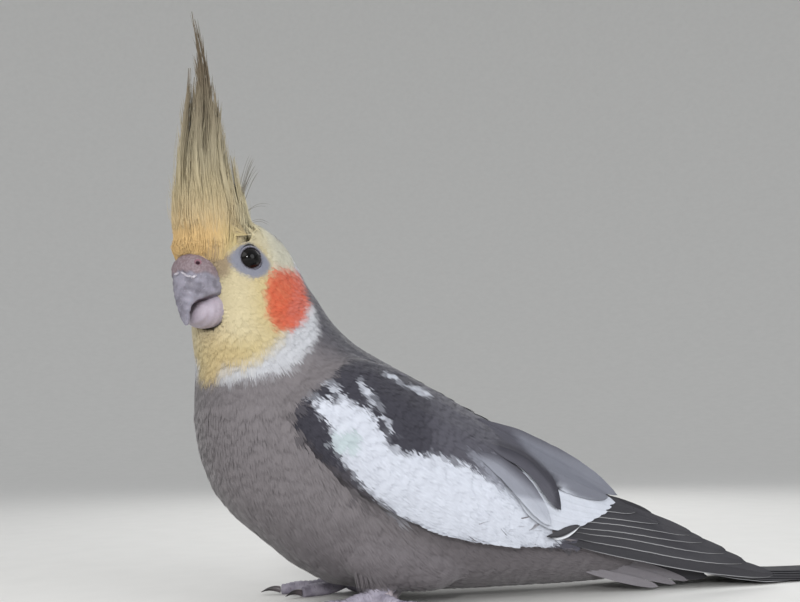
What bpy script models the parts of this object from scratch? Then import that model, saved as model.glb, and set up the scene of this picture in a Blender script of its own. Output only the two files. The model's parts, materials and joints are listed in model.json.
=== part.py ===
"""Life-size cockatiel, crouched on a flat floor with its head turned to its left.

The bird faces -Y, its left side is +X and the floor is Z = 0. Body sizes below are in
millimetres in a design frame whose origin lies on the floor between the feet. At the end
the whole bird is moved so that the origin is the bottom centre of its box.
"""

import math

import bmesh
import bpy
import numpy as np
from mathutils import Matrix, Vector

MM = 0.001
GAP = 0.3  # clearance between neighbouring pieces
LIFE_SCALE = 0.965  # brings the outlines below to a folded wing of 167 mm

# The head is modelled straight ahead in its own frame and then turned about this axis.
HEAD_AXIS_Y = -38.5
HEAD_YAW = 44.0
EYE_HEIGHT = 105.7

BODY_SEGMENTS = 28
BODY_RINGS_PER_STATION = 2

# Body outline from the tail root to the crown. Each row has the back point (y, z), the
# breast point (y, z), the half-width and the share of the head's turn at that level.
BODY_STATIONS = [
    ("tail root", (97, 21.5), (97.5, 5), 8.5, 0.0),
    ("vent", (82, 31.5), (82, 2.6), 16.0, 0.0),
    ("hip", (62, 43), (52, 2.4), 22.5, 0.0),
    ("belly", (43, 55), (19, 2.8), 26.5, 0.0),
    ("low breast", (24, 67.2), (-9, 6), 28.0, 0.0),
    ("breast", (7, 76.3), (-30, 20.5), 28.0, 0.0),
    ("shoulder", (-2, 82), (-44.5, 35), 26.0, 0.0),
    ("neck base", (-8.5, 89), (-50.8, 56), 22.5, 0.08),
    ("neck", (-12, 96.5), (-50, 73), 19.0, 0.4),
    ("jaw", (-13, 101.5), (-50.6, 81), 17.2, 0.8),
    ("cheek", (-14, 107), (-52, 94), 15.4, 1.0),
    ("eye level", (-16.5, 112.5), (-60, 105), 12.5, 1.0),
    ("brow", (-23, 117), (-62, 111.5), 11.5, 1.0),
    ("crown", (-29.5, 119), (-52, 119), 6.2, 1.0),
]
BODY_SQUARENESS = 2.25  # 2 is an ellipse
TRUNK_ENDS_AT = 7  # the station where the trunk meets the neck
NECK_ENDS_AT = 8  # the station where the neck meets the head

# Left wing from the bend of the wing to the tip: lower edge, upper edge, bulge outwards
# and half thickness.
WING_FRONT = (26.0, -26.0, 60.0)
WING_STATIONS = [
    ((26.5, -22.0, 51.0), (22.0, -18.0, 70.0), 2.4, 1.4),
    ((28.2, -12.0, 40.5), (18.5, -6.0, 75.5), 4.8, 2.1),
    ((29.7, 0.0, 31.0), (15.5, 12.0, 71.0), 6.6, 2.4),
    ((29.8, 20.0, 21.0), (12.5, 33.0, 60.0), 6.8, 2.4),
    ((28.4, 38.0, 17.2), (10.0, 54.0, 49.0), 6.2, 2.1),
    ((25.0, 56.0, 15.5), (8.0, 73.0, 37.5), 4.8, 1.7),
    ((20.8, 77.0, 11.8), (7.5, 92.0, 26.5), 2.8, 1.3),
    ((17.5, 101.0, 8.0), (9.0, 109.0, 16.2), 1.2, 0.9),
    ((15.5, 124.0, 6.0), (12.0, 127.0, 9.4), 0.6, 0.7),
]
WING_TIP = (14.0, 141.0, 4.2)
WING_SEGMENTS = 16
WING_RINGS_PER_STATION = 2
RIGHT_WING_RAISE_DEG = 1.7  # the right wing's tip crosses a little above the left one

# Tail from its root to its tip: y, height of the middle, half-width, half thickness.
TAIL_STATIONS = [
    (73.0, 16.5, 5.0, 3.0),
    (84.0, 14.5, 9.0, 3.4),
    (97.0, 10.5, 11.5, 2.8),
    (115.0, 5.2, 13.0, 2.2),
    (138.0, 1.5, 13.0, 1.9),
    (165.0, 0.9, 11.5, 1.7),
    (192.0, 0.7, 8.5, 1.5),
    (213.0, 0.6, 5.0, 1.3),
]
TAIL_TIP = (228.0, 0.5)

# Crest in the head's frame: forward of the head axis, height, half-length, half-width.
CREST_STATIONS = [
    (10.0, 110.6, 14.0, 11.9),
    (10.3, 117.0, 13.9, 11.2),
    (11.4, 123.0, 12.6, 10.6),
    (13.0, 128.0, 11.4, 10.0),
    (14.6, 133.5, 9.9, 9.2),
    (15.2, 140.0, 8.4, 7.8),
    (14.8, 147.0, 7.3, 6.6),
    (15.3, 156.5, 5.9, 5.3),
    (15.8, 163.0, 5.0, 4.4),
    (17.0, 168.5, 3.6, 3.1),
    (18.6, 175.0, 2.1, 1.8),
]
CREST_TIP = (20.8, 183.5)

# Bill in the head's frame: top point and lower point as (forward, above the eye), and
# half-width.
UPPER_BILL_STATIONS = [
    ((13.0, -0.5), (8.0, -9.5), 5.4),
    ((20.0, 0.2), (10.5, -11.0), 6.6),
    ((23.0, -2.6), (12.5, -12.2), 6.6),
    ((22.7, -8.0), (15.0, -13.6), 6.0),
    ((22.5, -13.0), (18.0, -15.6), 4.8),
    ((21.6, -18.0), (19.2, -17.8), 3.1),
]
UPPER_BILL_TIP = (19.7, -23.1)
LOWER_BILL_STATIONS = [
    ((6.0, -13.6), (5.5, -20.0), 4.6),
    ((11.0, -13.4), (9.6, -21.6), 5.8),
    ((14.4, -15.4), (13.6, -22.6), 5.2),
    ((16.9, -17.6), (16.6, -21.8), 3.3),
]
LOWER_BILL_TIP = (18.1, -19.7)

EYE_RADIUS = 4.1
EYE_FORWARD = 5.2
EYE_SIDE = 9.8

# Feathered thigh: centre and radii. The shank comes out of its lower side.
THIGH_CENTRE = (18.0, 9.0, 14.5)
THIGH_RADII = (9.5, 20.0, 9.5)
THIGH_TILT_DEG = -14.0

# Foot joint where the four toes meet, and the shank's upper end inside the thigh.
TOE_JOINT = (20.5, 0.5, 4.4)
SHANK_TOP = (18.5, 9.0, 10.5)
SHANK_RADII = (3.0, 3.1)
# Toes: name, direction from straight ahead towards the outside, length, claw length.
TOES = [
    ("front_inner", -16.0, 15.5, 5.0),
    ("front_outer", 12.0, 21.0, 6.0),
    ("back_outer", 148.0, 17.0, 5.5),
    ("back_inner", -158.0, 9.5, 4.5),
]
TOE_RADII = (2.5, 1.75)  # at the joint and at the claw
TOE_PAD = 0.22  # how much the pads under the toe joints stand out
TOE_FLAT_DEPTH = 0.4  # how far the round toe would reach into the floor
CLAW_RADIUS = 1.15
CLAW_DROP = 0.6


def clear_scene():
    for obj in list(bpy.data.objects):
        bpy.data.objects.remove(obj, do_unlink=True)


def make_material(name, colour, roughness, metallic=0.0):
    material = bpy.data.materials.new(name)
    material.use_nodes = True
    shader = material.node_tree.nodes["Principled BSDF"]
    shader.inputs["Base Color"].default_value = (*colour, 1.0)
    shader.inputs["Roughness"].default_value = roughness
    shader.inputs["Metallic"].default_value = metallic
    return material


def smooth_rows(rows, steps):
    """Rows of numbers read from a smooth curve that passes through every given row."""
    rows = np.asarray(rows, float)
    before = 2 * rows[0] - rows[1]
    after = 2 * rows[-1] - rows[-2]
    padded = np.vstack([before, rows, after])
    out = []
    for i in range(1, len(padded) - 2):
        p0, p1, p2, p3 = padded[i - 1 : i + 3]
        for k in range(steps):
            t = k / steps
            out.append(
                0.5
                * (
                    2 * p1
                    + (p2 - p0) * t
                    + (2 * p0 - 5 * p1 + 4 * p2 - p3) * t * t
                    + (3 * p1 - p0 - 3 * p2 + p3) * t ** 3
                )
            )
    out.append(rows[-1])
    return out


def section(centre, up, side, count, squareness=2.0):
    """A closed ring of points around centre, from half-vectors up and side."""
    ring = []
    for k in range(count):
        a = 2 * math.pi * k / count
        c, s = math.cos(a), math.sin(a)
        power = 2.0 / squareness
        ring.append(
            centre
            + up * math.copysign(abs(c) ** power, c)
            + side * math.copysign(abs(s) ** power, s)
        )
    return ring


def loft(name, rings, material, first=None, last=None):
    """A closed solid through rings of points. first and last close an end in a point."""
    mesh = bmesh.new()
    loops = [[mesh.verts.new(Vector(p) * LIFE_SCALE * MM) for p in ring] for ring in rings]
    count = len(rings[0])
    for low, high in zip(loops, loops[1:]):
        for k in range(count):
            n = (k + 1) % count
            mesh.faces.new((low[k], low[n], high[n], high[k]))
    for loop, tip in ((loops[0], first), (loops[-1], last)):
        if tip is None:
            mesh.faces.new(loop)
            continue
        point = mesh.verts.new(Vector(tip) * LIFE_SCALE * MM)
        for k in range(count):
            mesh.faces.new((loop[k], loop[(k + 1) % count], point))
    bmesh.ops.recalc_face_normals(mesh, faces=mesh.faces)
    data = bpy.data.meshes.new(name)
    mesh.to_mesh(data)
    mesh.free()
    data.shade_smooth()
    obj = bpy.data.objects.new(name, data)
    bpy.context.scene.collection.objects.link(obj)
    if material:
        data.materials.append(material)
    return obj


def as_cutter(obj):
    obj.hide_render = True
    obj.display_type = "WIRE"
    return obj


def add_boolean(host, other, operation):
    modifier = host.modifiers.new(f"{operation.lower()} {other.name}", "BOOLEAN")
    modifier.operation = operation
    modifier.solver = "EXACT"
    modifier.object = other


def turned(point, share=1.0):
    """A design point turned about the head axis by a share of the head's yaw."""
    a = math.radians(HEAD_YAW * share)
    dx, dy = point[0], point[1] - HEAD_AXIS_Y
    return Vector(
        (
            dx * math.cos(a) - dy * math.sin(a),
            HEAD_AXIS_Y + dx * math.sin(a) + dy * math.cos(a),
            point[2],
        )
    )


def head_point(forward, side, above_eye):
    """A point given in the head's own frame, in the design frame."""
    return turned((side, HEAD_AXIS_Y - forward, EYE_HEIGHT + above_eye))


def body_rings():
    """All rings of the body, and the index of the ring at each station."""
    rows = [[*back, *breast, width, share] for _, back, breast, width, share in BODY_STATIONS]
    rings = []
    for yb, zb, yf, zf, width, share in smooth_rows(rows, BODY_RINGS_PER_STATION):
        back, breast = Vector((0, yb, zb)), Vector((0, yf, zf))
        straight = section(
            (back + breast) / 2, (back - breast) / 2, Vector((width, 0, 0)),
            BODY_SEGMENTS, BODY_SQUARENESS,
        )
        rings.append([turned(p, share) for p in straight])
    return rings


def ring_normal(ring):
    quarter = len(ring) // 4
    return (ring[0] - ring[2 * quarter]).cross(ring[quarter] - ring[3 * quarter]).normalized()


def moved_ring(ring, towards, distance):
    """The ring moved along its own normal, to the side where another ring lies."""
    normal = ring_normal(ring)
    middle = sum(ring, Vector()) / len(ring)
    if normal.dot(sum(towards, Vector()) / len(towards) - middle) < 0:
        normal = -normal
    return [p + normal * distance for p in ring]


def make_flesh(materials):
    """Trunk, neck and head: one smooth body parted by two thin flat cuts."""
    rings = body_rings()
    per = BODY_RINGS_PER_STATION
    spans = [
        ("trunk", 0, TRUNK_ENDS_AT * per, "grey plumage"),
        ("neck", TRUNK_ENDS_AT * per, NECK_ENDS_AT * per, "grey plumage"),
        ("head", NECK_ENDS_AT * per, len(rings) - 1, "yellow plumage"),
    ]
    made = {}
    for name, start, end, finish in spans:
        own = [list(r) for r in rings[start : end + 1]]
        if start > 0:
            own[0] = moved_ring(own[0], own[1], GAP / 2)
        if end < len(rings) - 1:
            own[-1] = moved_ring(own[-1], own[-2], GAP / 2)
        crown = turned((0, HEAD_AXIS_Y - 3, 119.9)) if name == "head" else None
        made[name] = loft(name, own, materials[finish], last=crown)
    return made


def wing_rings(grow):
    """Lens-shaped sections of the left wing, thicker all round by grow."""
    rows = [[*low, *high, bulge, half] for low, high, bulge, half in WING_STATIONS]
    smooth = [np.array(r) for r in smooth_rows(rows, WING_RINGS_PER_STATION)]
    along = Vector(WING_TIP) - Vector(WING_FRONT)
    rings = []
    for row in smooth:
        low, high = Vector(row[0:3]), Vector(row[3:6])
        bulge, half = row[6], row[7] + grow
        chord = (high - low).normalized()
        outward = along.cross(chord).normalized()
        if outward.x < 0:
            outward = -outward
        low, high = low - chord * grow, high + chord * grow
        ring = []
        for k in range(WING_SEGMENTS):
            a = 2 * math.pi * k / WING_SEGMENTS
            across = (1 - math.cos(a)) / 2
            depth = bulge * math.sin(a) ** 2 + half * math.sin(a)
            ring.append(low.lerp(high, across) + outward * depth)
        rings.append(ring)
    return rings


def wing_matrix(side):
    """Left wing as designed, or its mirror image raised a little at the tip."""
    if side == "left":
        return Matrix.Identity(4)
    front = Vector(WING_FRONT)
    front.x = -front.x
    raise_tip = Matrix.Rotation(math.radians(RIGHT_WING_RAISE_DEG), 4, "X")
    return Matrix.Translation(front) @ raise_tip @ Matrix.Translation(-front) @ Matrix.Scale(
        -1, 4, Vector((1, 0, 0))
    )


def make_wing(side, materials, grow=0.0):
    matrix = wing_matrix(side)
    rings = [[matrix @ p for p in ring] for ring in wing_rings(grow)]
    along = (Vector(WING_TIP) - Vector(WING_FRONT)).normalized()
    front = matrix @ (Vector(WING_FRONT) - along * grow)
    tip = matrix @ (Vector(WING_TIP) + along * grow)
    name = f"wing_{side}" if grow == 0 else f"wing_{side}_pocket"
    return loft(name, rings, materials["dark plumage"], first=front, last=tip)


def make_tail(materials, grow=0.0):
    rings = []
    for y, z, width, half in smooth_rows(TAIL_STATIONS, 2):
        rings.append(
            section(Vector((0, y, z)), Vector((0, 0, half + grow)),
                    Vector((width + grow, 0, 0)), 16)
        )
    tip_y, tip_z = TAIL_TIP
    name = "tail" if grow == 0 else "tail_pocket"
    return loft(name, rings, materials["dark plumage"], last=(0, tip_y + grow, tip_z))


def make_crest(materials, grow=0.0):
    rings = []
    for forward, height, length, width in smooth_rows(CREST_STATIONS, 2):
        centre = Vector((0, HEAD_AXIS_Y - forward, height))
        ring = section(centre, Vector((0, -length - grow, 0)), Vector((width + grow, 0, 0)), 16)
        rings.append([turned(p) for p in ring])
    forward, height = CREST_TIP
    tip = turned((0, HEAD_AXIS_Y - forward, height))
    name = "crest" if grow == 0 else "crest_socket"
    return loft(name, rings, materials["yellow plumage"], last=tip)


def make_bill(name, stations, tip, materials, grow=0.0, squareness=2.3):
    rings = []
    for tf, tu, lf, lu, width in smooth_rows([[*t, *b, w] for t, b, w in stations], 2):
        top, low = head_point(tf, 0, tu), head_point(lf, 0, lu)
        up = (top - low) / 2
        side = (head_point(0, 1, 0) - head_point(0, 0, 0)) * (width + grow)
        rings.append(
            section((top + low) / 2, up + up.normalized() * grow, side, 16, squareness)
        )
    if grow:
        name += "_socket"
    return loft(name, rings, materials["bill"], last=head_point(tip[0], 0, tip[1]))


def make_ball(name, centre, radius, material, segments=16, rings=10):
    mesh = bmesh.new()
    bmesh.ops.create_uvsphere(mesh, u_segments=segments, v_segments=rings, radius=1.0)
    data = bpy.data.meshes.new(name)
    for vert in mesh.verts:
        vert.co = (Vector(centre) + Vector(a * b for a, b in zip(vert.co, radius))) * LIFE_SCALE * MM
    mesh.to_mesh(data)
    mesh.free()
    data.shade_smooth()
    obj = bpy.data.objects.new(name, data)
    bpy.context.scene.collection.objects.link(obj)
    data.materials.append(material)
    return obj


def make_eye(side, materials, grow=0.0):
    sign = 1 if side == "left" else -1
    name = f"eye_{side}" if grow == 0 else f"eye_{side}_socket"
    centre = head_point(EYE_FORWARD, sign * EYE_SIDE, 0)
    return make_ball(name, centre, (EYE_RADIUS + grow,) * 3, materials["eye"])


def make_thigh(side, materials, grow=0.0):
    """The feathered upper leg, an egg tilted down towards the front."""
    sign = 1 if side == "left" else -1
    name = f"thigh_{side}" if grow == 0 else f"thigh_{side}_pocket"
    tilt = Matrix.Rotation(math.radians(THIGH_TILT_DEG), 3, "X")
    centre = Vector((sign * THIGH_CENTRE[0], *THIGH_CENTRE[1:]))
    rings = []
    for k in range(1, 10):
        a = math.pi * k / 10
        radius = math.sin(a)
        middle = centre + tilt @ Vector((0, -math.cos(a) * (THIGH_RADII[1] + grow), 0))
        up = tilt @ Vector((0, 0, radius * (THIGH_RADII[2] + grow)))
        rings.append(section(middle, up, Vector((radius * (THIGH_RADII[0] + grow), 0, 0)), 16))
    reach = tilt @ Vector((0, THIGH_RADII[1] + grow, 0))
    return loft(name, rings, materials["grey plumage"], first=centre - reach, last=centre + reach)


def tube(name, points, radii, material, count=10):
    """A round tube along points, closed by short domes."""
    points = [Vector(p) for p in points]
    rings = []
    for i, p in enumerate(points):
        ahead = points[min(i + 1, len(points) - 1)] - points[max(i - 1, 0)]
        side = ahead.cross(Vector((0, 0, 1))).normalized()
        up = side.cross(ahead).normalized()
        rings.append(section(p, up * radii[i], side * radii[i], count))
    start = points[0] - (points[1] - points[0]).normalized() * radii[0] * 0.7
    end = points[-1] + (points[-1] - points[-2]).normalized() * radii[-1] * 0.5
    return loft(name, rings, material, first=start, last=end)


def toe_direction(angle, side):
    sign = 1 if side == "left" else -1
    a = math.radians(angle)
    return Vector((sign * math.sin(a), -math.cos(a), 0))


def toe_points(angle, length, side, steps=6):
    """Middle line of a toe, from the joint down to the floor and forward, and its radii."""
    sign = 1 if side == "left" else -1
    start = Vector((sign * TOE_JOINT[0], TOE_JOINT[1], TOE_JOINT[2]))
    lift = start.z - (TOE_RADII[0] - TOE_FLAT_DEPTH)
    points, radii = [], []
    for k in range(steps + 1):
        t = k / steps
        radius = TOE_RADII[0] + (TOE_RADII[1] - TOE_RADII[0]) * t
        radius += TOE_PAD * math.sin(2 * math.pi * t) ** 2
        p = start + toe_direction(angle, side) * length * t
        p.z = radius - TOE_FLAT_DEPTH + lift * (1 - t) ** 3
        points.append(p)
        radii.append(radius)
    return points, radii


def make_foot(side, materials, floor_block, thigh_pocket):
    """Shank and four toes as one solid with flat soles at the floor."""
    sign = 1 if side == "left" else -1
    top = Vector((sign * SHANK_TOP[0], SHANK_TOP[1], SHANK_TOP[2]))
    joint = Vector((sign * TOE_JOINT[0], TOE_JOINT[1], TOE_JOINT[2]))
    shank_points = [top.lerp(joint, k / 4) for k in range(5)]
    radii = [SHANK_RADII[0] + (SHANK_RADII[1] - SHANK_RADII[0]) * k / 4 for k in range(5)]
    foot = tube(f"foot_{side}", shank_points, radii, materials["foot skin"])
    add_boolean(foot, thigh_pocket, "DIFFERENCE")
    for name, angle, length, _ in TOES:
        points, toe_radii = toe_points(angle, length, side)
        toe = as_cutter(tube(f"toe_{name}_{side}", points, toe_radii, materials["foot skin"]))
        add_boolean(foot, toe, "UNION")
    add_boolean(foot, floor_block, "DIFFERENCE")
    return foot


def make_claws(side, materials, floor_block):
    """A curved claw before the end of every toe, clear of it by the gap."""
    claws = []
    for name, angle, length, claw_length in TOES:
        points, radii = toe_points(angle, length, side)
        ahead = toe_direction(angle, side)
        start = points[-1] + ahead * (radii[-1] * 0.5 + GAP)
        path, sizes = [], []
        for k in range(6):
            t = k / 5
            p = start + ahead * claw_length * t
            p.z = start.z + 0.5 * math.sin(math.pi * t) - CLAW_DROP * t * t
            path.append(p)
            sizes.append(CLAW_RADIUS * (1 - 0.85 * t ** 1.3))
        rings = []
        for i, p in enumerate(path):
            side_vector = ahead.cross(Vector((0, 0, 1)))
            rings.append(section(p, Vector((0, 0, sizes[i])), side_vector * sizes[i] * 0.8, 8))
        claw = loft(f"claw_{name}_{side}", rings, materials["claw"], last=path[-1] + ahead * 0.3)
        add_boolean(claw, floor_block, "DIFFERENCE")
        claws.append(claw)
    return claws


def make_floor_block():
    """A block under the floor, which cuts what stands on it flat."""
    rings = [
        [Vector((x, y, z)) for x, y in ((-80, -90), (80, -90), (80, 260), (-80, 260))]
        for z in (-20.0, 0.0)
    ]
    return as_cutter(loft("floor_block", rings, None))


def make_materials():
    return {
        "grey plumage": make_material("grey plumage", (0.19, 0.175, 0.17), 0.85),
        "yellow plumage": make_material("yellow plumage", (0.78, 0.62, 0.28), 0.85),
        "dark plumage": make_material("dark plumage", (0.07, 0.07, 0.085), 0.7),
        "bill": make_material("bill", (0.42, 0.39, 0.44), 0.45),
        "eye": make_material("eye", (0.01, 0.008, 0.008), 0.05),
        "foot skin": make_material("foot skin", (0.35, 0.36, 0.42), 0.6),
        "claw": make_material("claw", (0.08, 0.075, 0.08), 0.4),
    }


def stand_over_origin(solids):
    """Moves the bird so that the origin is at the bottom centre of its box."""
    bpy.context.view_layer.update()
    graph = bpy.context.evaluated_depsgraph_get()
    corners = []
    for obj in solids:
        evaluated = obj.evaluated_get(graph)
        corners += [evaluated.matrix_world @ Vector(c) for c in evaluated.bound_box]
    low = Vector([min(c[k] for c in corners) for k in range(3)])
    high = Vector([max(c[k] for c in corners) for k in range(3)])
    stand = bpy.data.objects.new("bird", None)
    bpy.context.scene.collection.objects.link(stand)
    for obj in list(bpy.context.scene.collection.objects):
        if obj is not stand:
            obj.parent = stand
    stand.location = (-(low.x + high.x) / 2, -(low.y + high.y) / 2, -low.z)


def main():
    clear_scene()
    materials = make_materials()
    floor_block = make_floor_block()
    flesh = make_flesh(materials)
    trunk, neck, head = flesh["trunk"], flesh["neck"], flesh["head"]
    solids = [trunk, neck, head]

    for side in ("left", "right"):
        wing = make_wing(side, materials)
        pocket = as_cutter(make_wing(side, materials, GAP))
        for host in (trunk, neck):
            add_boolean(host, pocket, "DIFFERENCE")
        thigh = make_thigh(side, materials)
        thigh_pocket = as_cutter(make_thigh(side, materials, GAP))
        add_boolean(trunk, thigh_pocket, "DIFFERENCE")
        eye = make_eye(side, materials)
        add_boolean(head, as_cutter(make_eye(side, materials, GAP)), "DIFFERENCE")
        foot = make_foot(side, materials, floor_block, thigh_pocket)
        solids += [wing, thigh, eye, foot, *make_claws(side, materials, floor_block)]

    tail = make_tail(materials)
    add_boolean(trunk, as_cutter(make_tail(materials, GAP)), "DIFFERENCE")
    add_boolean(tail, floor_block, "DIFFERENCE")
    crest = make_crest(materials)
    upper = make_bill("bill_upper", UPPER_BILL_STATIONS, UPPER_BILL_TIP, materials)
    lower = make_bill("bill_lower", LOWER_BILL_STATIONS, LOWER_BILL_TIP, materials)
    upper_socket = as_cutter(
        make_bill("bill_upper", UPPER_BILL_STATIONS, UPPER_BILL_TIP, materials, GAP)
    )
    lower_socket = as_cutter(
        make_bill("bill_lower", LOWER_BILL_STATIONS, LOWER_BILL_TIP, materials, GAP)
    )
    add_boolean(head, as_cutter(make_crest(materials, GAP)), "DIFFERENCE")
    add_boolean(head, upper_socket, "DIFFERENCE")
    add_boolean(head, lower_socket, "DIFFERENCE")
    solids += [tail, crest, upper, lower]
    stand_over_origin(solids)


main()
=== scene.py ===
"""Looks of a life-size cockatiel that sits on a flat floor with its head turned to its left.

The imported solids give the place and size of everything. Shapes below are worked out in
design millimetres, the units of those solids, in which the bird faces -Y, its left side is
+X and the floor is Z = 0. Each shape is brought into the frame when its mesh is made.
"""

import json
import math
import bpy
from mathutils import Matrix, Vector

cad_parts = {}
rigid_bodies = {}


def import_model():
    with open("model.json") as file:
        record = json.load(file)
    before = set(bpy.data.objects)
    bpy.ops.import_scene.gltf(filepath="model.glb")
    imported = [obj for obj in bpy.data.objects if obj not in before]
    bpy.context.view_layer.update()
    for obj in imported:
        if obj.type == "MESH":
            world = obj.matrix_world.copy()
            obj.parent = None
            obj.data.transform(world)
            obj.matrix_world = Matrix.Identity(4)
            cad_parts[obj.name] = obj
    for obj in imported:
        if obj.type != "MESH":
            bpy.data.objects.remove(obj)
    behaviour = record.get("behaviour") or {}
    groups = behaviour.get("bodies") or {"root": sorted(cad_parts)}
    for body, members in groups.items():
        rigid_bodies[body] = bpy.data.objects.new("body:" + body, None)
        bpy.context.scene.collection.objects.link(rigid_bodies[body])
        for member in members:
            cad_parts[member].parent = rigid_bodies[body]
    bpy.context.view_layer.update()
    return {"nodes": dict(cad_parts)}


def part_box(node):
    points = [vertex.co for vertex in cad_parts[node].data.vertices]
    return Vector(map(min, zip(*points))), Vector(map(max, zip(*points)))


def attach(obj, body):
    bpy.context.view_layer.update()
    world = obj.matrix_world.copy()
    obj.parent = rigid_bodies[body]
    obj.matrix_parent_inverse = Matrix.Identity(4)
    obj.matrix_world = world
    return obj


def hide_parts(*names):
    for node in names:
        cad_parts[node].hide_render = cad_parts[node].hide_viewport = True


bl_info = {
    "name": "Cockatiel",
    "version": (1, 0, 0),
    "blender": (4, 5, 0),
    "location": "3D View > Sidebar > Cockatiel",
    "description": "Skin, coat of feathers, wings, crest, eyes, bill and feet of a cockatiel",
    "category": "Object",
}

import bmesh
import bpy
import numpy as np
from bpy.props import FloatProperty, FloatVectorProperty, IntProperty, PointerProperty
from mathutils import Matrix, Vector
from mathutils.bvhtree import BVHTree

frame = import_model()

# The design frame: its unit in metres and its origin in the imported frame.
UNIT = 0.965e-3
TAIL_TIP_Y = 228.0
ORIGIN = np.array([0.0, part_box("tail")[1].y - TAIL_TIP_Y * UNIT, 0.0])

# The head is turned about an upright axis, and its own frame has three numbers: forward
# of that axis, to the bird's left, and above the middle of the eye.
HEAD_AXIS_Y = -38.5
HEAD_YAW = math.radians(44.0)
EYE_HEIGHT = 105.7


def linear(red, green, blue):
    """A colour given as display values from 0 to 255, in linear light."""
    out = []
    for value in (red, green, blue):
        v = value / 255
        out.append(v / 12.92 if v <= 0.04045 else ((v + 0.055) / 1.055) ** 2.4)
    return tuple(out)


# Places and shapes


def to_frame(points):
    """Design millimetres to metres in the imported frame."""
    return np.asarray(points, float) * UNIT + ORIGIN


def to_design(points):
    """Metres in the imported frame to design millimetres."""
    return (np.asarray(points, float) - ORIGIN) / UNIT


def in_head(points):
    """Design points as forward, left and above the eye."""
    x, y = points[:, 0], points[:, 1] - HEAD_AXIS_Y
    c, s = math.cos(HEAD_YAW), math.sin(HEAD_YAW)
    return np.c_[x * s - y * c, x * c + y * s, points[:, 2] - EYE_HEIGHT]


def from_head(points):
    """Points given as forward, left and above the eye, in the design frame."""
    points = np.atleast_2d(np.asarray(points, float))
    forward, left = points[:, 0], points[:, 1]
    c, s = math.cos(HEAD_YAW), math.sin(HEAD_YAW)
    return np.c_[left * c + forward * s, HEAD_AXIS_Y + left * s - forward * c, points[:, 2] + EYE_HEIGHT]


def ease(low, high, value):
    """0 below low, 1 above high, and a smooth rise between them."""
    t = np.clip((np.asarray(value, float) - low) / (high - low), 0.0, 1.0)
    return t * t * (3 - 2 * t)


def unit_rows(vectors):
    """Vectors brought to a length of one."""
    length = np.linalg.norm(vectors, axis=-1, keepdims=True)
    return vectors / np.maximum(length, 1e-9)


def one_side(points, axis):
    """Points with one coordinate made positive, so that both sides of the bird fall together."""
    folded = points.copy()
    folded[..., axis] = np.abs(folded[..., axis])
    return folded


def smooth_rows(rows, steps):
    """Rows of numbers read from a smooth curve that passes through every given row."""
    rows = np.asarray(rows, float)
    padded = np.vstack([2 * rows[0] - rows[1], rows, 2 * rows[-1] - rows[-2]])
    out = []
    for i in range(1, len(padded) - 2):
        p0, p1, p2, p3 = padded[i - 1 : i + 3]
        for k in range(steps):
            t = k / steps
            out.append(
                0.5
                * (
                    2 * p1
                    + (p2 - p0) * t
                    + (2 * p0 - 5 * p1 + 4 * p2 - p3) * t * t
                    + (3 * p1 - p0 - 3 * p2 + p3) * t**3
                )
            )
    out.append(rows[-1])
    return np.array(out)


def curve_at(points, where):
    """Points of a smooth curve through points, at shares of the way along it."""
    steps = 12
    fine = smooth_rows(points, steps) if len(points) > 2 else np.asarray(points, float)
    gaps = np.linalg.norm(np.diff(fine, axis=0), axis=1)
    reach = np.r_[0.0, np.cumsum(gaps)]
    reach /= reach[-1]
    return np.stack([np.interp(where, reach, fine[:, k]) for k in range(fine.shape[1])], axis=-1)


def set_attribute(mesh, name, kind, values, domain="POINT"):
    """Adds a named attribute with one value or row for each point or corner."""
    layer = mesh.attributes.new(name, kind, domain)
    key = {"FLOAT": "value", "FLOAT_COLOR": "color", "FLOAT_VECTOR": "vector", "FLOAT2": "vector"}[kind]
    values = np.asarray(values, np.float32)
    if kind == "FLOAT_COLOR" and values.shape[-1] == 3:
        values = np.c_[values.reshape(-1, 3), np.ones(len(values.reshape(-1, 3)), np.float32)]
    layer.data.foreach_set(key, values.ravel())


def get_attribute(mesh, name, width):
    """Values of a named attribute that has so many numbers for each point."""
    layer = mesh.attributes[name]
    values = np.zeros(len(layer.data) * width, np.float32)
    key = {1: "value", 2: "vector", 3: "vector", 4: "color"}[width]
    layer.data.foreach_get(key, values)
    return values.reshape(-1, width) if width > 1 else values


def add_object(name, mesh):
    """A new object in the scene that shows a mesh, camera or light."""
    obj = bpy.data.objects.new(name, mesh)
    bpy.context.scene.collection.objects.link(obj)
    return obj


def drop_object(obj):
    """Takes an object away with the mesh that only it uses."""
    mesh = obj.data
    bpy.data.objects.remove(obj, do_unlink=True)
    if mesh.users == 0:
        bpy.data.meshes.remove(mesh)


def finish_piece(obj, material, nodes=(), flat=False):
    """Gives a piece its material and shading and the body it rides on, and hides the solids it stands for."""
    obj.data.materials.clear()
    obj.data.materials.append(material)
    if flat:
        obj.data.shade_flat()
    else:
        obj.data.shade_smooth()
        obj.data.set_sharp_from_angle(angle=math.radians(48))
    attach(obj, "root")
    if nodes:
        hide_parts(*nodes)
    return obj


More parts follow.
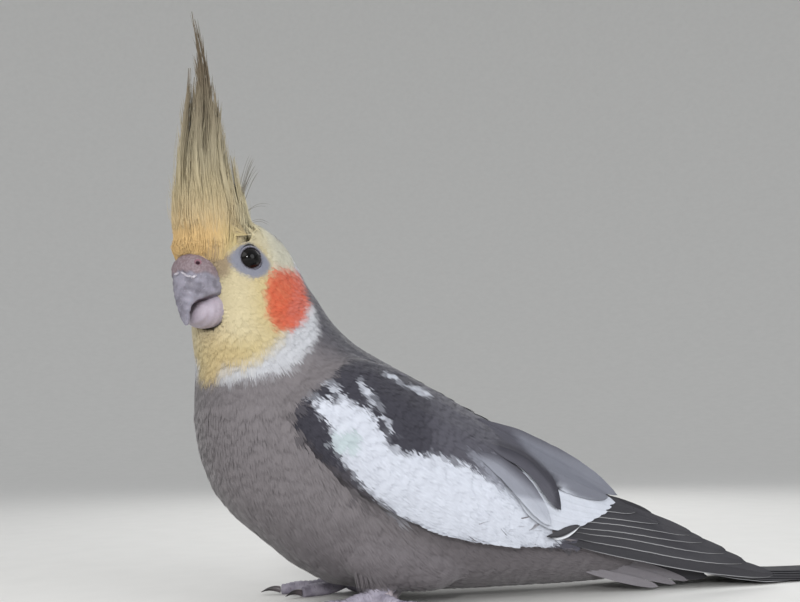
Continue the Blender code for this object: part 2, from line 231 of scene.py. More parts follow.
class Shape:
    """Collects points in design millimetres, faces, numbers per point and a map per corner."""

    def __init__(self):
        self.points, self.faces, self.maps = [], [], []
        self.values = {}
        self.count = 0

    def add(self, points, faces, corner_map=None, **values):
        """Adds points (N, 3), faces as index lists, and one value or row per point by name."""
        points = np.asarray(points, float).reshape(-1, 3)
        for face in faces:
            self.faces.append([int(k) + self.count for k in face])
        if corner_map is not None:
            self.maps.extend(corner_map)
        self.points.append(points)
        for name, value in values.items():
            self.values.setdefault(name, []).append(np.asarray(value, float))
        self.count += len(points)

    def mesh(self, name, outward=False):
        """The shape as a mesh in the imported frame, turned outwards if asked."""
        data = bpy.data.meshes.new(name)
        data.from_pydata(to_frame(np.vstack(self.points)).tolist(), [], self.faces)
        for key, rows in self.values.items():
            table = np.concatenate(rows)
            kind = "FLOAT" if table.ndim == 1 else "FLOAT_COLOR"
            set_attribute(data, key, kind, table)
        if self.maps:
            set_attribute(data, "OFBake", "FLOAT2", np.array(self.maps), "CORNER")
        if outward:
            face_outwards(data)
        data.validate()
        return data


def finish_shape(name, shape, material, nodes=(), flat=False, outward=False):
    """Makes a shape a finished piece of that name."""
    return finish_piece(add_object(name, shape.mesh(name, outward)), material, nodes, flat)


def face_outwards(data):
    """Turns all faces of a mesh outwards."""
    work = bmesh.new()
    work.from_mesh(data)
    bmesh.ops.recalc_face_normals(work, faces=work.faces)
    work.to_mesh(data)
    work.free()


def tube_faces(rings, around):
    """Faces of a tube whose points run ring by ring, with a fan to one more point at each end."""
    faces = []
    for i in range(rings - 1):
        for k in range(around):
            n = (k + 1) % around
            a, b = i * around, (i + 1) * around
            faces.append((a + k, a + n, b + n, b + k))
    first, last = rings * around, (rings - 1) * around
    faces += [(k, first, (k + 1) % around) for k in range(around)]
    faces += [(last + k, last + (k + 1) % around, first + 1) for k in range(around)]
    return faces


def blade_points(path, side, up, width, height, taper):
    """Points of a thin blade with a three-cornered section that ends in a point."""
    points = []
    for p, share in zip(path[:-1], taper[:-1]):
        points += [p - side * width * share, p + side * width * share, p + up * height * share]
    points.append(path[-1])
    return np.array(points)


def blade_faces(sections):
    """Faces of a blade of that many three-cornered sections and one end point."""
    faces = []
    for i in range(sections - 1):
        a, b = 3 * i, 3 * i + 3
        faces += [(a + 1, a, b, b + 1), (a + 2, a + 1, b + 1, b + 2), (a, a + 2, b + 2, b)]
    a, tip = 3 * (sections - 1), 3 * sections
    faces += [(a + 1, a, tip), (a + 2, a + 1, tip), (a, a + 2, tip)]
    return faces


# Shader and geometry node graphs


class Value:
    """A node socket that takes part in Python sums, each of which adds a Math node."""

    def __init__(self, graph, socket):
        self.graph, self.socket = graph, socket

    def _sum(self, operation, other, swapped=False):
        pair = [other, self] if swapped else [self, other]
        node = self.graph.node("ShaderNodeMath", {"operation": operation}, {0: pair[0], 1: pair[1]})
        return Value(self.graph, node.outputs[0])

    def __add__(self, other):
        return self._sum("ADD", other)

    __radd__ = __add__

    def __sub__(self, other):
        return self._sum("SUBTRACT", other)

    def __rsub__(self, other):
        return self._sum("SUBTRACT", other, True)

    def __mul__(self, other):
        return self._sum("MULTIPLY", other)

    __rmul__ = __mul__

    def __rtruediv__(self, other):
        return self._sum("DIVIDE", other, True)

    def sine(self):
        return self._sum("SINE", 0.0)

    def size(self):
        return self._sum("ABSOLUTE", 0.0)

    def eased(self, low, high):
        """0 below low, 1 above high, and a smooth rise between them."""
        node = self.graph.node(
            "ShaderNodeMapRange",
            {"interpolation_type": "SMOOTHSTEP"},
            {"Value": self, "From Min": low, "From Max": high},
        )
        return Value(self.graph, node.outputs[0])


class Graph:
    """A node tree, and the few calls that fill it."""

    def __init__(self, tree):
        self.tree = tree

    def node(self, kind, settings=None, inputs=None):
        """Adds a node, makes its settings, then sets or links its inputs."""
        node = self.tree.nodes.new(kind)
        for key, value in (settings or {}).items():
            setattr(node, key, value)
        for key, value in (inputs or {}).items():
            self.feed(node.inputs[key], value)
        return node

    def feed(self, socket, value):
        if isinstance(value, Value):
            value = value.socket
        if isinstance(value, bpy.types.NodeSocket):
            self.tree.links.new(value, socket)
        else:
            socket.default_value = value

    def attribute(self, name, output="Fac"):
        node = self.node("ShaderNodeAttribute", {"attribute_name": name})
        return Value(self, node.outputs[output])

    def noise(self, scale, detail):
        """Noise fixed to the model, with so many waves to the metre."""
        place = self.node("ShaderNodeTexCoord").outputs["Object"]
        inputs = {"Scale": scale, "Detail": detail, "Vector": place}
        return Value(self, self.node("ShaderNodeTexNoise", {}, inputs).outputs["Fac"])

    def mix(self, first, second, share):
        """Colours mixed by a share."""
        node = self.node("ShaderNodeMix", {"data_type": "RGBA"})
        self.feed(node.inputs[0], share)
        for key, colour in ((6, first), (7, second)):
            self.feed(node.inputs[key], (*colour[:3], 1.0) if isinstance(colour, tuple) else colour)
        return node.outputs[2]

    def scaled(self, colour, factor):
        """A colour made lighter or darker by a number that varies."""
        node = self.node("ShaderNodeVectorMath", {"operation": "SCALE"}, {0: colour, "Scale": factor})
        return node.outputs[0]

    def bump(self, height, strength, distance):
        inputs = {"Height": height, "Strength": strength, "Distance": distance}
        return self.node("ShaderNodeBump", {}, inputs).outputs[0]


def make_material(name, build, **constants):
    """A Principled material. build(graph) returns what varies, by socket name."""
    material = bpy.data.materials.new(name)
    material.use_nodes = True
    shader = material.node_tree.nodes["Principled BSDF"]
    graph = Graph(material.node_tree)
    for key, value in constants.items():
        shader.inputs[key.replace("_", " ")].default_value = value
    for key, value in build(graph).items():
        graph.feed(shader.inputs[key], value)
    return material


# Markings, which the skin and the coat share

PLUMAGE_TONE = 0.62  # how much light a tuft gives back, as part of its full colour
FRINGE_TONE = 0.76  # the same for the strands at the foot of the crest
GREY = linear(140, 134, 137)
BELLY_GREY = linear(128, 122, 126)
BACK_GREY = linear(104, 104, 108)
MANTLE_GREY = linear(80, 79, 90)
YELLOW = linear(232, 212, 158)
PALE_YELLOW = linear(240, 226, 186)
DEEP_YELLOW = linear(228, 192, 134)
CREAM = linear(232, 228, 206)
WHITE = linear(222, 224, 230)
ORANGE = linear(240, 104, 68)
LILAC_GREY = linear(160, 162, 176)
LORE_BROWN = linear(160, 136, 112)
WING_DARK = linear(50, 49, 58)
WING_GREY = linear(74, 73, 82)
WING_STRIP = linear(70, 67, 73)
SLATE = linear(48, 47, 52)
PALE_EDGE = linear(170, 170, 172)
# Painted shadow for the line along the wing's lower edge, where it meets the body.
PAINTED_EDGE_SHADOW = linear(44, 38, 40)
WING_WHITE = linear(192, 196, 206)
GREEN_WHITE = linear(174, 186, 190)
PALE_TERTIAL = linear(146, 149, 160)
BACK_WING_GREY = linear(112, 114, 124)
CREST_DARK = linear(98, 88, 72)
FOOT_PINK = linear(168, 158, 164)

# Lower edges of the pale face: forward of the head axis, height above the eye. Outside
# the first line the plumage is grey, and between the two it is white.
GREY_LINE = np.array([
    (-22, 14), (-19, 4), (-16.5, -5.7), (-12.5, -11.7), (-6.4, -22.4), (-2.2, -28), (3, -33.5), (8, -37),
    (14, -38.5),
])
YELLOW_LINE = np.array([
    (-22, 11), (-14, -1.8), (-8, -10), (-3, -17.6), (1.3, -24), (5, -28.6), (10, -33.8), (14, -36.4),
])

# Orange cheek patch: its middle in the head's frame, half-width and half-height.
CHEEK_MIDDLE = (-6.1, 17.0, -12.3)
CHEEK_ACROSS = (-0.53, 0.847)
CHEEK_HALF_WIDTH = 6.4
CHEEK_HALF_HEIGHT = 10.9

# Bare lilac ring round the eye: middle and half sizes, forward and up.
EYE_MIDDLE = (5.2, 9.8, 0.0)
EYE_RING_MIDDLE = (5.9, -0.9)
EYE_RING_HALF = (8.0, 6.0)
BILL_ROOT = (14.5, 0.0, -7.0)

# Left wing seen from the side, as (y, z) outlines.
WHITE_PATCH = [
    (-18.7, 63.2), (-12.4, 60.8), (-8.6, 61.3), (-2.3, 59.2), (0.6, 53.5), (3.2, 47.6), (6.7, 46.5),
    (14.2, 45.3), (23.0, 43.3), (29.9, 40.6), (36.6, 35.8), (42.5, 33.0), (52.5, 30.6), (60.0, 26.0),
    (61.5, 20.5), (53.8, 16.4), (44.1, 13.5), (34.2, 15.9), (26.5, 18.6), (20.3, 19.4), (8.1, 26.8),
    (-3.5, 36.6), (-10.2, 45.0), (-12.3, 47.9), (-13.0, 52.8), (-15.3, 57.1),
]
SECOND_WHITE = [
    (53.7, 41.6), (57.5, 36.7), (65.2, 31.3), (79.8, 27.4), (73.7, 23.0), (66.0, 22.0), (59.6, 20.5),
    (54.1, 22.2), (57.8, 28.2), (59.6, 33.1), (57.0, 38.0),
]
SOFT_TERTIAL = [(28, 46), (38.5, 43), (49, 34.5), (56, 27), (52.4, 24), (43.5, 30.5), (34.5, 37.5)]
GREY_TERTIAL = [
    (48, 52), (60, 47), (75, 41), (86, 33), (80, 27.5), (65, 31.5), (58, 37), (53.5, 41.5),
]
WING_EDGE = [
    (-25.8, 59.9), (-24.0, 54.4), (-21.2, 49.9), (-16.2, 45.0), (-11.5, 40.1), (-6.7, 35.8), (-0.6, 31.4),
    (8.2, 25.2), (20.3, 19.0),
]
STRIP_TOP = np.array([(-12, 42.1), (0, 31.9), (10, 25.0), (24, 19.5)])
DARK_CRESCENT = [(41, 47.5), (48, 44.8), (53.2, 41.0), (57, 36.5), (58.3, 33.1), (57.8, 30), (56.4, 28.2)]
WHITE_FLECKS = [
    [(-15.9, 67.3), (-14.0, 65.5)], [(-11.8, 65.5), (-8.6, 61.3)], [(-3.1, 66.1), (0.4, 59.5)],
    [(2.5, 55.7), (4.6, 52.2)], [(6.0, 69.4), (9.6, 67.3)], [(12.9, 65.1), (17.7, 64.0)],
]

# Ridge of the back seen from the side, as (y, z).
BACK_RIDGE = np.array([(-10, 89), (7, 76), (24, 67), (43, 55), (62, 43), (82, 31.5), (97, 21.5)])


def tones():
    """The main plumage colours, which the settings hold."""
    return bpy.context.scene.cockatiel_colours


def mixed(first, second, share):
    """Rows of colours moved towards a colour by a share for each row."""
    share = np.asarray(share, float)[:, None]
    return first * (1 - share) + np.asarray(second) * share


def gap_to_stretch(y, z, start, end):
    """Distances of places (y, z) from the straight stretch between two corners."""
    (ay, az), (by, bz) = start, end
    length = (by - ay) ** 2 + (bz - az) ** 2
    t = np.clip(((y - ay) * (by - ay) + (z - az) * (bz - az)) / length, 0, 1)
    return np.hypot(y - ay - t * (by - ay), z - az - t * (bz - az))


def inside_outline(outline, y, z, soft):
    """1 inside a closed outline, 0 outside, with an edge that wide."""
    corners = np.asarray(outline, float)
    ends = np.roll(corners, -1, axis=0)
    inside = np.zeros(len(y), bool)
    nearest = np.full(len(y), 1e9)
    for (ay, az), (by, bz) in zip(corners, ends):
        if az != bz:
            crossing = (by - ay) * (z - az) / (bz - az) + ay
            inside ^= ((az > z) != (bz > z)) & (y < crossing)
        nearest = np.minimum(nearest, gap_to_stretch(y, z, (ay, az), (by, bz)))
    return ease(-soft / 2, soft / 2, np.where(inside, nearest, -nearest))


def cheek_patch(head):
    """Share of orange at points of the head's frame."""
    forward, left, up = head[:, 0], np.abs(head[:, 1]), head[:, 2]
    across = CHEEK_ACROSS[0] * (forward - CHEEK_MIDDLE[0]) + CHEEK_ACROSS[1] * (left - CHEEK_MIDDLE[1])
    rise = up - CHEEK_MIDDLE[2]
    reach = (np.abs(across / CHEEK_HALF_WIDTH) ** 2.4 + np.abs(rise / CHEEK_HALF_HEIGHT) ** 2.4) ** (1 / 2.4)
    over = 0.82 * rise + 0.57 * across
    streak = np.sin(4.3 * over + 1.2 * np.sin(0.8 * across)) + 0.7 * np.sin(9.1 * over + 2.0)
    share = (1 - ease(0.84, 1.12, reach + 0.06 * streak)) * (0.93 + 0.07 * np.clip(streak, -1, 1))
    return share * ease(9.0, 11.5, left) * ease(-21.0, -18.0, forward)


def eye_ring(head, grow=0.0):
    """Share of the lilac ring round either eye."""
    forward, left, up = head[:, 0], np.abs(head[:, 1]), head[:, 2]
    a = (forward - EYE_RING_MIDDLE[0]) / (EYE_RING_HALF[0] + grow)
    b = (up - EYE_RING_MIDDLE[1]) / (EYE_RING_HALF[1] + grow)
    reach = np.abs(a) ** 1.6 + np.abs(b) ** 1.6
    return (1 - ease(0.72, 1.12, reach)) * ease(5.0, 7.0, left)


def head_colour(points):
    """Colours of the face and crown at design points, and how much each counts."""
    head = in_head(points)
    forward, left, up = head.T
    side = np.abs(left)
    colour = np.tile(tones().face_yellow, (len(points), 1))
    colour = mixed(colour, PALE_YELLOW, ease(16, 8, np.abs(up + 14)) * ease(2, 9, forward) * 0.9)
    colour = mixed(colour, CREAM, ease(3.0, -7.0, forward) * ease(-9.0, -2.0, up))
    brow = 0.45 * ease(6.0, 11.0, side) * ease(2.5, 6.0, up) * ease(11.0, 4.0, forward)
    colour = mixed(colour, CREAM, brow)
    colour = mixed(colour, DEEP_YELLOW, ease(12.0, 19.0, forward) * ease(-2.5, 1.0, up) * ease(14.0, 4.0, up))
    colour = mixed(colour, DEEP_YELLOW, 0.35 * ease(9.0, 14.0, forward) * ease(-17.0, -24.0, up))
    lore = ease(11.5, 13.5, forward) * ease(-8.5, -5.5, up) * ease(0.8, -0.8, up) * ease(3.0, 6.0, side)
    colour = mixed(colour, LORE_BROWN, 0.75 * lore)
    white_from = np.interp(forward, *YELLOW_LINE.T)
    beside_chin = ease(4.0, 9.0, side + 0.5 * ease(-25, -35, up))
    colour = mixed(colour, WHITE, ease(3.2, -1.8, up - white_from) * beside_chin)
    colour = mixed(colour, WHITE, 0.9 * ease(-8.0, -12.0, forward) * ease(-2.0, -7.0, up))
    colour = mixed(colour, tones().cheek_orange, cheek_patch(head))
    colour = mixed(colour, LILAC_GREY, eye_ring(head))
    grey_from = np.interp(forward, *GREY_LINE.T)
    pale = ease(-1.8, 1.4, up - grey_from)
    pale = pale * (1 - ease(6.5, 11.0, up) * ease(-5.0, -11.0, forward))
    return colour, pale


def near_line(line, y, z, half, soft):
    """1 on a line of (y, z) places, and 0 further than half from it, with a soft edge."""
    nearest = np.full(len(y), 1e9)
    for start, end in zip(line, line[1:]):
        nearest = np.minimum(nearest, gap_to_stretch(y, z, start, end))
    return ease(half + soft, half, nearest)


def wing_colour(y, z):
    """Colours of the folded wing's feathers at places seen from the side, with a painted shadow line along
    the wing's lower edge.
    """
    white = tones().wing_white
    colour = np.tile(WING_GREY, (len(y), 1))
    colour = mixed(colour, WING_DARK, ease(14.0, 6.0, y - 0.15 * z))
    colour = mixed(colour, BACK_WING_GREY, inside_outline(GREY_TERTIAL, y, z, 4.0))
    strip = ease(2.2, 0.4, z - np.interp(y, *STRIP_TOP.T))
    colour = mixed(colour, WING_STRIP, strip * ease(-14, -10, y) * ease(14, 6, y))
    colour = mixed(colour, white, inside_outline(WHITE_PATCH, y, z, 1.8))
    colour = mixed(colour, PALE_TERTIAL, 0.7 * inside_outline(SOFT_TERTIAL, y, z, 4.0))
    colour = mixed(colour, white, inside_outline(SECOND_WHITE, y, z, 2.6))
    colour = mixed(colour, WING_DARK, near_line(DARK_CRESCENT, y, z, 0.9, 1.6))
    for line in WHITE_FLECKS:
        colour = mixed(colour, white, 0.8 * near_line(line, y, z, 0.5, 0.8))
    # Painted shadow: a dark line along the wing's lower edge, where wing and body meet.
    colour = mixed(colour, PAINTED_EDGE_SHADOW, 0.7 * near_line(WING_EDGE, y, z - 0.3, 0.2, 0.7))
    spot = np.hypot((y + 8.4) / 4.2, (z - 49.4) / 3.3)
    return mixed(colour, GREEN_WHITE, ease(1.15, 0.8, spot))


def body_colour(points):
    """Colours of breast, belly and back at design points, with a dark mantle between the wings."""
    y, z = points[:, 1], points[:, 2]
    colour = mixed(np.tile(tones().body_grey, (len(points), 1)), BELLY_GREY, ease(38.0, 12.0, z))
    under_ridge = z - np.interp(y, *BACK_RIDGE.T)
    colour = mixed(colour, BACK_GREY, ease(-16.0, -4.0, under_ridge) * ease(-16.0, 0.0, y))
    mantle = 0.95 * ease(-20.0, -4.0, under_ridge) * ease(-24.0, -10.0, y) * ease(60.0, 38.0, y)
    return mixed(colour, MANTLE_GREY, mantle)


def plumage_colour(points):
    """Colours of the feathers at design points of the body and head."""
    face, pale = head_colour(points)
    return mixed(body_colour(points), face, pale) * PLUMAGE_TONE


# The lie of the coat on the body and on the wings: at places (y, z) seen from the side,
# degrees from straight down towards the tail.
LIE = [
    (-46, 90, 4), (-20, 92, 26), (-48, 70, 6), (-14, 78, 42), (-42, 40, 12), (-24, 52, 20),
    (0, 74, 58), (-26, 18, 28), (-4, 36, 26), (0, 16, 32), (20, 60, 60), (20, 30, 30), (18, 4, 88),
    (-10, 6, 60), (34, 16, 46), (48, 50, 62), (46, 26, 58), (44, 3, 90), (70, 38, 64), (66, 16, 70),
    (84, 24, 72), (80, 4, 88), (100, 14, 78),
]
WING_LIE = [
    (-24, 58, 42), (-8, 44, 50), (8, 28, 62), (24, 20, 66), (-6, 72, 46), (12, 56, 38), (30, 54, 42),
    (30, 36, 38), (50, 40, 46), (54, 24, 60), (66, 30, 62),
]
LIE_REACH = 15.0


def side_lie(places, points):
    """Directions of the feathers seen from the side, blended between the nearest places."""
    places = np.array(places, float)
    gap = (points[:, 1, None] - places[:, 0]) ** 2 + (points[:, 2, None] - places[:, 1]) ** 2
    weight = np.exp(-gap / LIE_REACH**2) + 1e-9 / (1 + gap)
    angle = np.radians((weight * places[:, 2]).sum(1) / weight.sum(1))
    return np.c_[np.zeros(len(points)), np.sin(angle), -np.cos(angle)]


def along_surface(directions, normals):
    """Directions without the part of them that leaves the surface."""
    return unit_rows(directions - normals * (directions * normals).sum(1, keepdims=True))


def lie_direction(points, normals):
    """Directions along the surface in which the feathers of body and head lie."""
    head = in_head(points)
    away = unit_rows(head - np.array(BILL_ROOT))
    away[:, 2] -= 1.3 * ease(6.0, -14.0, head[:, 0]) + 0.5 * ease(4.0, -12.0, head[:, 2])
    away[:, 2] += 0.9 * ease(5.0, 10.0, head[:, 2]) * ease(-4.0, 6.0, head[:, 0])
    origin = from_head(np.zeros((1, 3)))
    onward = from_head(away) - origin
    share = ease(72.0, 88.0, points[:, 2])[:, None]
    return along_surface(unit_rows(onward) * share + side_lie(LIE, points) * (1 - share), normals)


# Skin

BODY = ["trunk", "neck", "head", "thigh_left", "thigh_right"]
FEET = ["foot_left", "foot_right"]
WINGS = ["wing_left", "wing_right"]
BILL = ["bill_upper", "bill_lower"]
SKIN_NODES = BODY + FEET + WINGS
WING_SKIN_END_Y = 66.0
SWELL = 0.22  # closes the clearance between the solids before they are joined


def swollen_copy(node, into):
    """Adds a copy of a CAD node, merged and a little thicker, to a bmesh."""
    work = bmesh.new()
    work.from_mesh(frame["nodes"][node].data)
    bmesh.ops.remove_doubles(work, verts=work.verts, dist=1e-6)
    if node in WINGS:
        end = Vector(to_frame([0, WING_SKIN_END_Y, 0]))
        geometry = work.verts[:] + work.edges[:] + work.faces[:]
        bmesh.ops.bisect_plane(work, geom=geometry, plane_co=end, plane_no=(0, 1, 0), clear_outer=True)
        bmesh.ops.holes_fill(work, edges=[e for e in work.edges if e.is_boundary])
        bmesh.ops.triangulate(work, faces=work.faces)
    bmesh.ops.recalc_face_normals(work, faces=work.faces)
    work.normal_update()
    moves = [v.normal * SWELL * UNIT for v in work.verts]
    for vert, move in zip(work.verts, moves):
        vert.co += move
    data = bpy.data.meshes.new(node)
    work.to_mesh(data)
    work.free()
    into.from_mesh(data)
    bpy.data.meshes.remove(data)


def solid_tree(node):
    """Search tree over the faces of a CAD node."""
    data = frame["nodes"][node].data
    return BVHTree.FromPolygons([v.co[:] for v in data.vertices], [p.vertices[:] for p in data.polygons])


def gap_to_solids(points, nodes):
    """Distances in design millimetres from points to the nearest of some solids."""
    best = np.full(len(points), 1e3)
    for node in nodes:
        tree = solid_tree(node)
        for i, point in enumerate(points):
            best[i] = min(best[i], tree.find_nearest(Vector(point))[3] / UNIT)
    return best


def part_shares(points):
    """How much each point belongs to the wings and to the feet, from the nearest solid."""
    wing, foot, body = (gap_to_solids(points, nodes) for nodes in (WINGS, FEET, BODY))
    return ease(0.5, -0.5, wing - np.minimum(body, foot)), ease(0.5, -0.5, foot - np.minimum(body, wing))


def from_bill(points):
    """Distances of design points from the root of the bill."""
    return np.linalg.norm(in_head(points) - np.array(BILL_ROOT), axis=1)


def coat_depth(points, wing, foot, settings):
    """Depth of the coat in design millimetres at points of the body."""
    face = settings.face_depth / UNIT
    body = settings.body_depth / UNIT
    height = points[:, 2]
    depth = face + (body - face) * ease(90.0, 62.0, height)
    depth = depth * (0.3 + 0.7 * ease(10.0, 20.0, from_bill(points)))
    depth = depth * (1 - wing) + settings.wing_depth / UNIT * wing
    return depth * (1 - foot) + 0.5 * foot


def relax(mesh, times):
    """Evens out a mesh by moving each vertex halfway to the mean of its neighbours."""
    count = len(mesh.vertices)
    points = np.zeros(count * 3)
    mesh.vertices.foreach_get("co", points)
    points = points.reshape(-1, 3)
    edges = np.zeros(len(mesh.edges) * 2, int)
    mesh.edges.foreach_get("vertices", edges)
    first, second = edges.reshape(-1, 2).T
    links = np.bincount(first, minlength=count) + np.bincount(second, minlength=count)
    for _ in range(times):
        total = np.zeros((count, 3))
        for axis in range(3):
            total[:, axis] = np.bincount(first, points[second, axis], count)
            total[:, axis] += np.bincount(second, points[first, axis], count)
        points += 0.5 * (total / np.maximum(links, 1)[:, None] - points)
    mesh.vertices.foreach_set("co", points.ravel())
    mesh.update()


def mesh_points(mesh):
    """Places of a mesh's vertices."""
    points = np.zeros(len(mesh.vertices) * 3)
    mesh.vertices.foreach_get("co", points)
    return points.reshape(-1, 3)


def mesh_normals(mesh):
    """Outward directions at a mesh's vertices."""
    normals = np.zeros(len(mesh.vertices) * 3, np.float32)
    mesh.vertex_normals.foreach_get("vector", normals)
    return normals.reshape(-1, 3).astype(float)


def make_skin_mesh(settings):
    """One closed skin inside the solids of body, feet and wings by the depth of the coat."""
    joined = bmesh.new()
    for node in SKIN_NODES:
        swollen_copy(node, joined)
    data = bpy.data.meshes.new("flesh")
    joined.to_mesh(data)
    joined.free()
    obj = add_object("flesh", data)
    modifier = obj.modifiers.new("join", "REMESH")
    modifier.mode = "VOXEL"
    modifier.voxel_size = settings.skin_grain
    graph = bpy.context.evaluated_depsgraph_get()
    mesh = bpy.data.meshes.new_from_object(obj.evaluated_get(graph))
    drop_object(obj)
    relax(mesh, 2)
    points = mesh_points(mesh)
    wing, foot = part_shares(points)
    depth = (coat_depth(to_design(points), wing, foot, settings) + SWELL) * UNIT
    points -= mesh_normals(mesh) * depth[:, None]
    mesh.vertices.foreach_set("co", points.ravel())
    mesh.update()
    relax(mesh, 4)
    set_attribute(mesh, "wing", "FLOAT", wing)
    set_attribute(mesh, "foot", "FLOAT", foot)
    return mesh


def unwrap(obj):
    """An unwrap of the piece's own shape in a map named OFBake."""
    bpy.context.view_layer.objects.active = obj
    obj.select_set(True)
    obj.data.uv_layers.new(name="OFBake")
    bpy.ops.object.mode_set(mode="EDIT")
    bpy.ops.mesh.select_all(action="SELECT")
    bpy.ops.uv.smart_project(angle_limit=math.radians(72), island_margin=0.002)
    bpy.ops.object.mode_set(mode="OBJECT")
    obj.select_set(False)


def skin_look(graph):
    """Skin under the coat, in the coat's colours, with fine grain."""
    tint = graph.attribute("tint", "Color")
    grain = graph.noise(900.0, 3.0)
    follicles = graph.noise(2600.0, 1.0)
    colour = graph.scaled(tint.socket, 0.88 + 0.14 * grain)
    return {
        "Base Color": colour,
        "Roughness": 0.68 + 0.2 * grain,
        "Normal": graph.bump(grain * 0.5 + follicles * 0.5, 0.5, 0.0004),
    }


def paint_skin(mesh):
    """Writes the markings, the lie of the coat and the outward direction on each vertex."""
    points = to_design(mesh_points(mesh))
    normals = mesh_normals(mesh)
    wing = get_attribute(mesh, "wing", 1)
    foot = get_attribute(mesh, "foot", 1)
    colour = mixed(coat_colour(points, normals, wing), FOOT_PINK, foot)
    set_attribute(mesh, "tint", "FLOAT_COLOR", colour)
    share = wing[:, None]
    wing_lie = along_surface(side_lie(WING_LIE, points), normals)
    lie = lie_direction(points, normals) * (1 - share) + wing_lie * share
    set_attribute(mesh, "lie", "FLOAT_VECTOR", unit_rows(lie))
    set_attribute(mesh, "out", "FLOAT_VECTOR", normals)


# Coat

CARRIER_ONLY = (
    "lie", "out", "length", "growth", "own", "root", "wing", "foot", "id", "high", "far", "lift", "facing",
    "rest",
)
TUFT_KINDS = 4
FLOOR_GAP = 0.0002
SEARCH_REACH = 0.006
WING_TUFT_LENGTH = 6.4

# Borders between the patches of coat: reach of the face from the root of the bill, and heights.
FACE_REACH = 16.0
FACE_LOW = 77.0
HEAD_LOW = 85.0
NECK_LOW = 64.0


def towards_solid(points, nodes):
    """Directions from points on the skin to the nearest of some solids."""
    found = np.zeros_like(points)
    nearest = np.full(len(points), 1e9)
    for node in nodes:
        tree = solid_tree(node)
        for i, point in enumerate(points):
            place, _, _, gap = tree.find_nearest(Vector(point), SEARCH_REACH)
            if place is not None and gap < nearest[i]:
                nearest[i] = gap
                found[i] = np.array(place) - point
    return unit_rows(found + 1e-9)


def away_from_solid(points, nodes):
    """Distances in design millimetres outside the given solids, negative inside them."""
    best = np.full(len(points), 1e3)
    for node in nodes:
        tree = solid_tree(node)
        for i, point in enumerate(points):
            place, normal, _, gap = tree.find_nearest(Vector(point))
            inside = gap < 4 * UNIT and (Vector(point) - place).dot(normal) < 0
            best[i] = min(best[i], (-gap if inside else gap) / UNIT)
    return best


def make_tuft(name, blades, sections, spread, blade_width, arch, rng):
    """A fan of thin curved blades from one root, one unit long, lying along +Y."""
    shape = Shape()
    for k in range(blades):
        t = 2 * (k + 0.5) / blades - 1
        reach = (1.0 - 0.26 * abs(t) ** 1.7) * rng.uniform(0.84, 1.08)
        aside = spread * t * rng.uniform(0.8, 1.15) + rng.normal(0, 0.02)
        rise = arch * (1 - 0.35 * t * t) * rng.uniform(0.75, 1.25)
        start = np.array([0.3 * spread * t, -0.03, -0.05])
        middle = np.array([aside * 0.95, 0.5 * reach, 1.25 * rise])
        end = np.array([aside * rng.uniform(0.85, 1.1), reach, rise * rng.uniform(0.45, 0.95)])
        where = np.linspace(0, 1, sections + 1)[:, None]
        path = start * (1 - where) ** 2 + 2 * middle * where * (1 - where) + end * where**2
        run = unit_rows(np.gradient(path, axis=0))[len(path) // 2]
        side = unit_rows(np.cross(run, [0.12 * t, 0, 1.0]))
        up = np.cross(side, run)
        width = blade_width * rng.uniform(0.8, 1.2)
        taper = 0.65 + 0.5 * np.sin(math.pi * where[:, 0] ** 0.8)
        points = blade_points(path, side, up, width, width * 0.09, taper)
        faces = blade_faces(sections)
        along = np.r_[np.repeat(where[:-1, 0], 3), 1.0]
        across = 0.5 + points[:, 0] / (2.6 * spread)
        own = [(across[i], along[i]) for face in faces for i in face]
        strand = np.full(len(points), rng.uniform(0, 1))
        shape.add(points, faces, own, along=along, strand=strand, high=points[:, 2], far=points[:, 1])
    return tuft_object(name, shape)


def tuft_object(name, shape):
    """A tuft as an object of its own, one unit long, that no scene shows."""
    data = bpy.data.meshes.new(name)
    data.from_pydata(np.vstack(shape.points).tolist(), [], shape.faces)
    for key, rows in shape.values.items():
        set_attribute(data, key, "FLOAT", np.concatenate(rows))
    set_attribute(data, "own", "FLOAT2", np.array(shape.maps), "CORNER")
    work = bmesh.new()
    work.from_mesh(data)
    bmesh.ops.remove_doubles(work, verts=work.verts, dist=1e-5)
    work.to_mesh(data)
    work.free()
    return bpy.data.objects.new(name, data)


def tuft_collection(name, numbers):
    """A collection of a few different tufts of one kind for the coat to pick from."""
    group = bpy.data.collections.new(name)
    bpy.context.scene.collection.children.link(group)
    for k in range(TUFT_KINDS):
        group.objects.link(make_tuft(f"{name}_{k}", *numbers, np.random.default_rng(40 + 7 * k)))
    return group


def drop_collection(group):
    """Takes a collection away with its objects."""
    for obj in list(group.objects):
        drop_object(obj)
    bpy.data.collections.remove(group)


def open_socket(sockets, name):
    """The socket of that name that the node's settings leave in use."""
    return next(s for s in sockets if s.name == name and s.enabled)


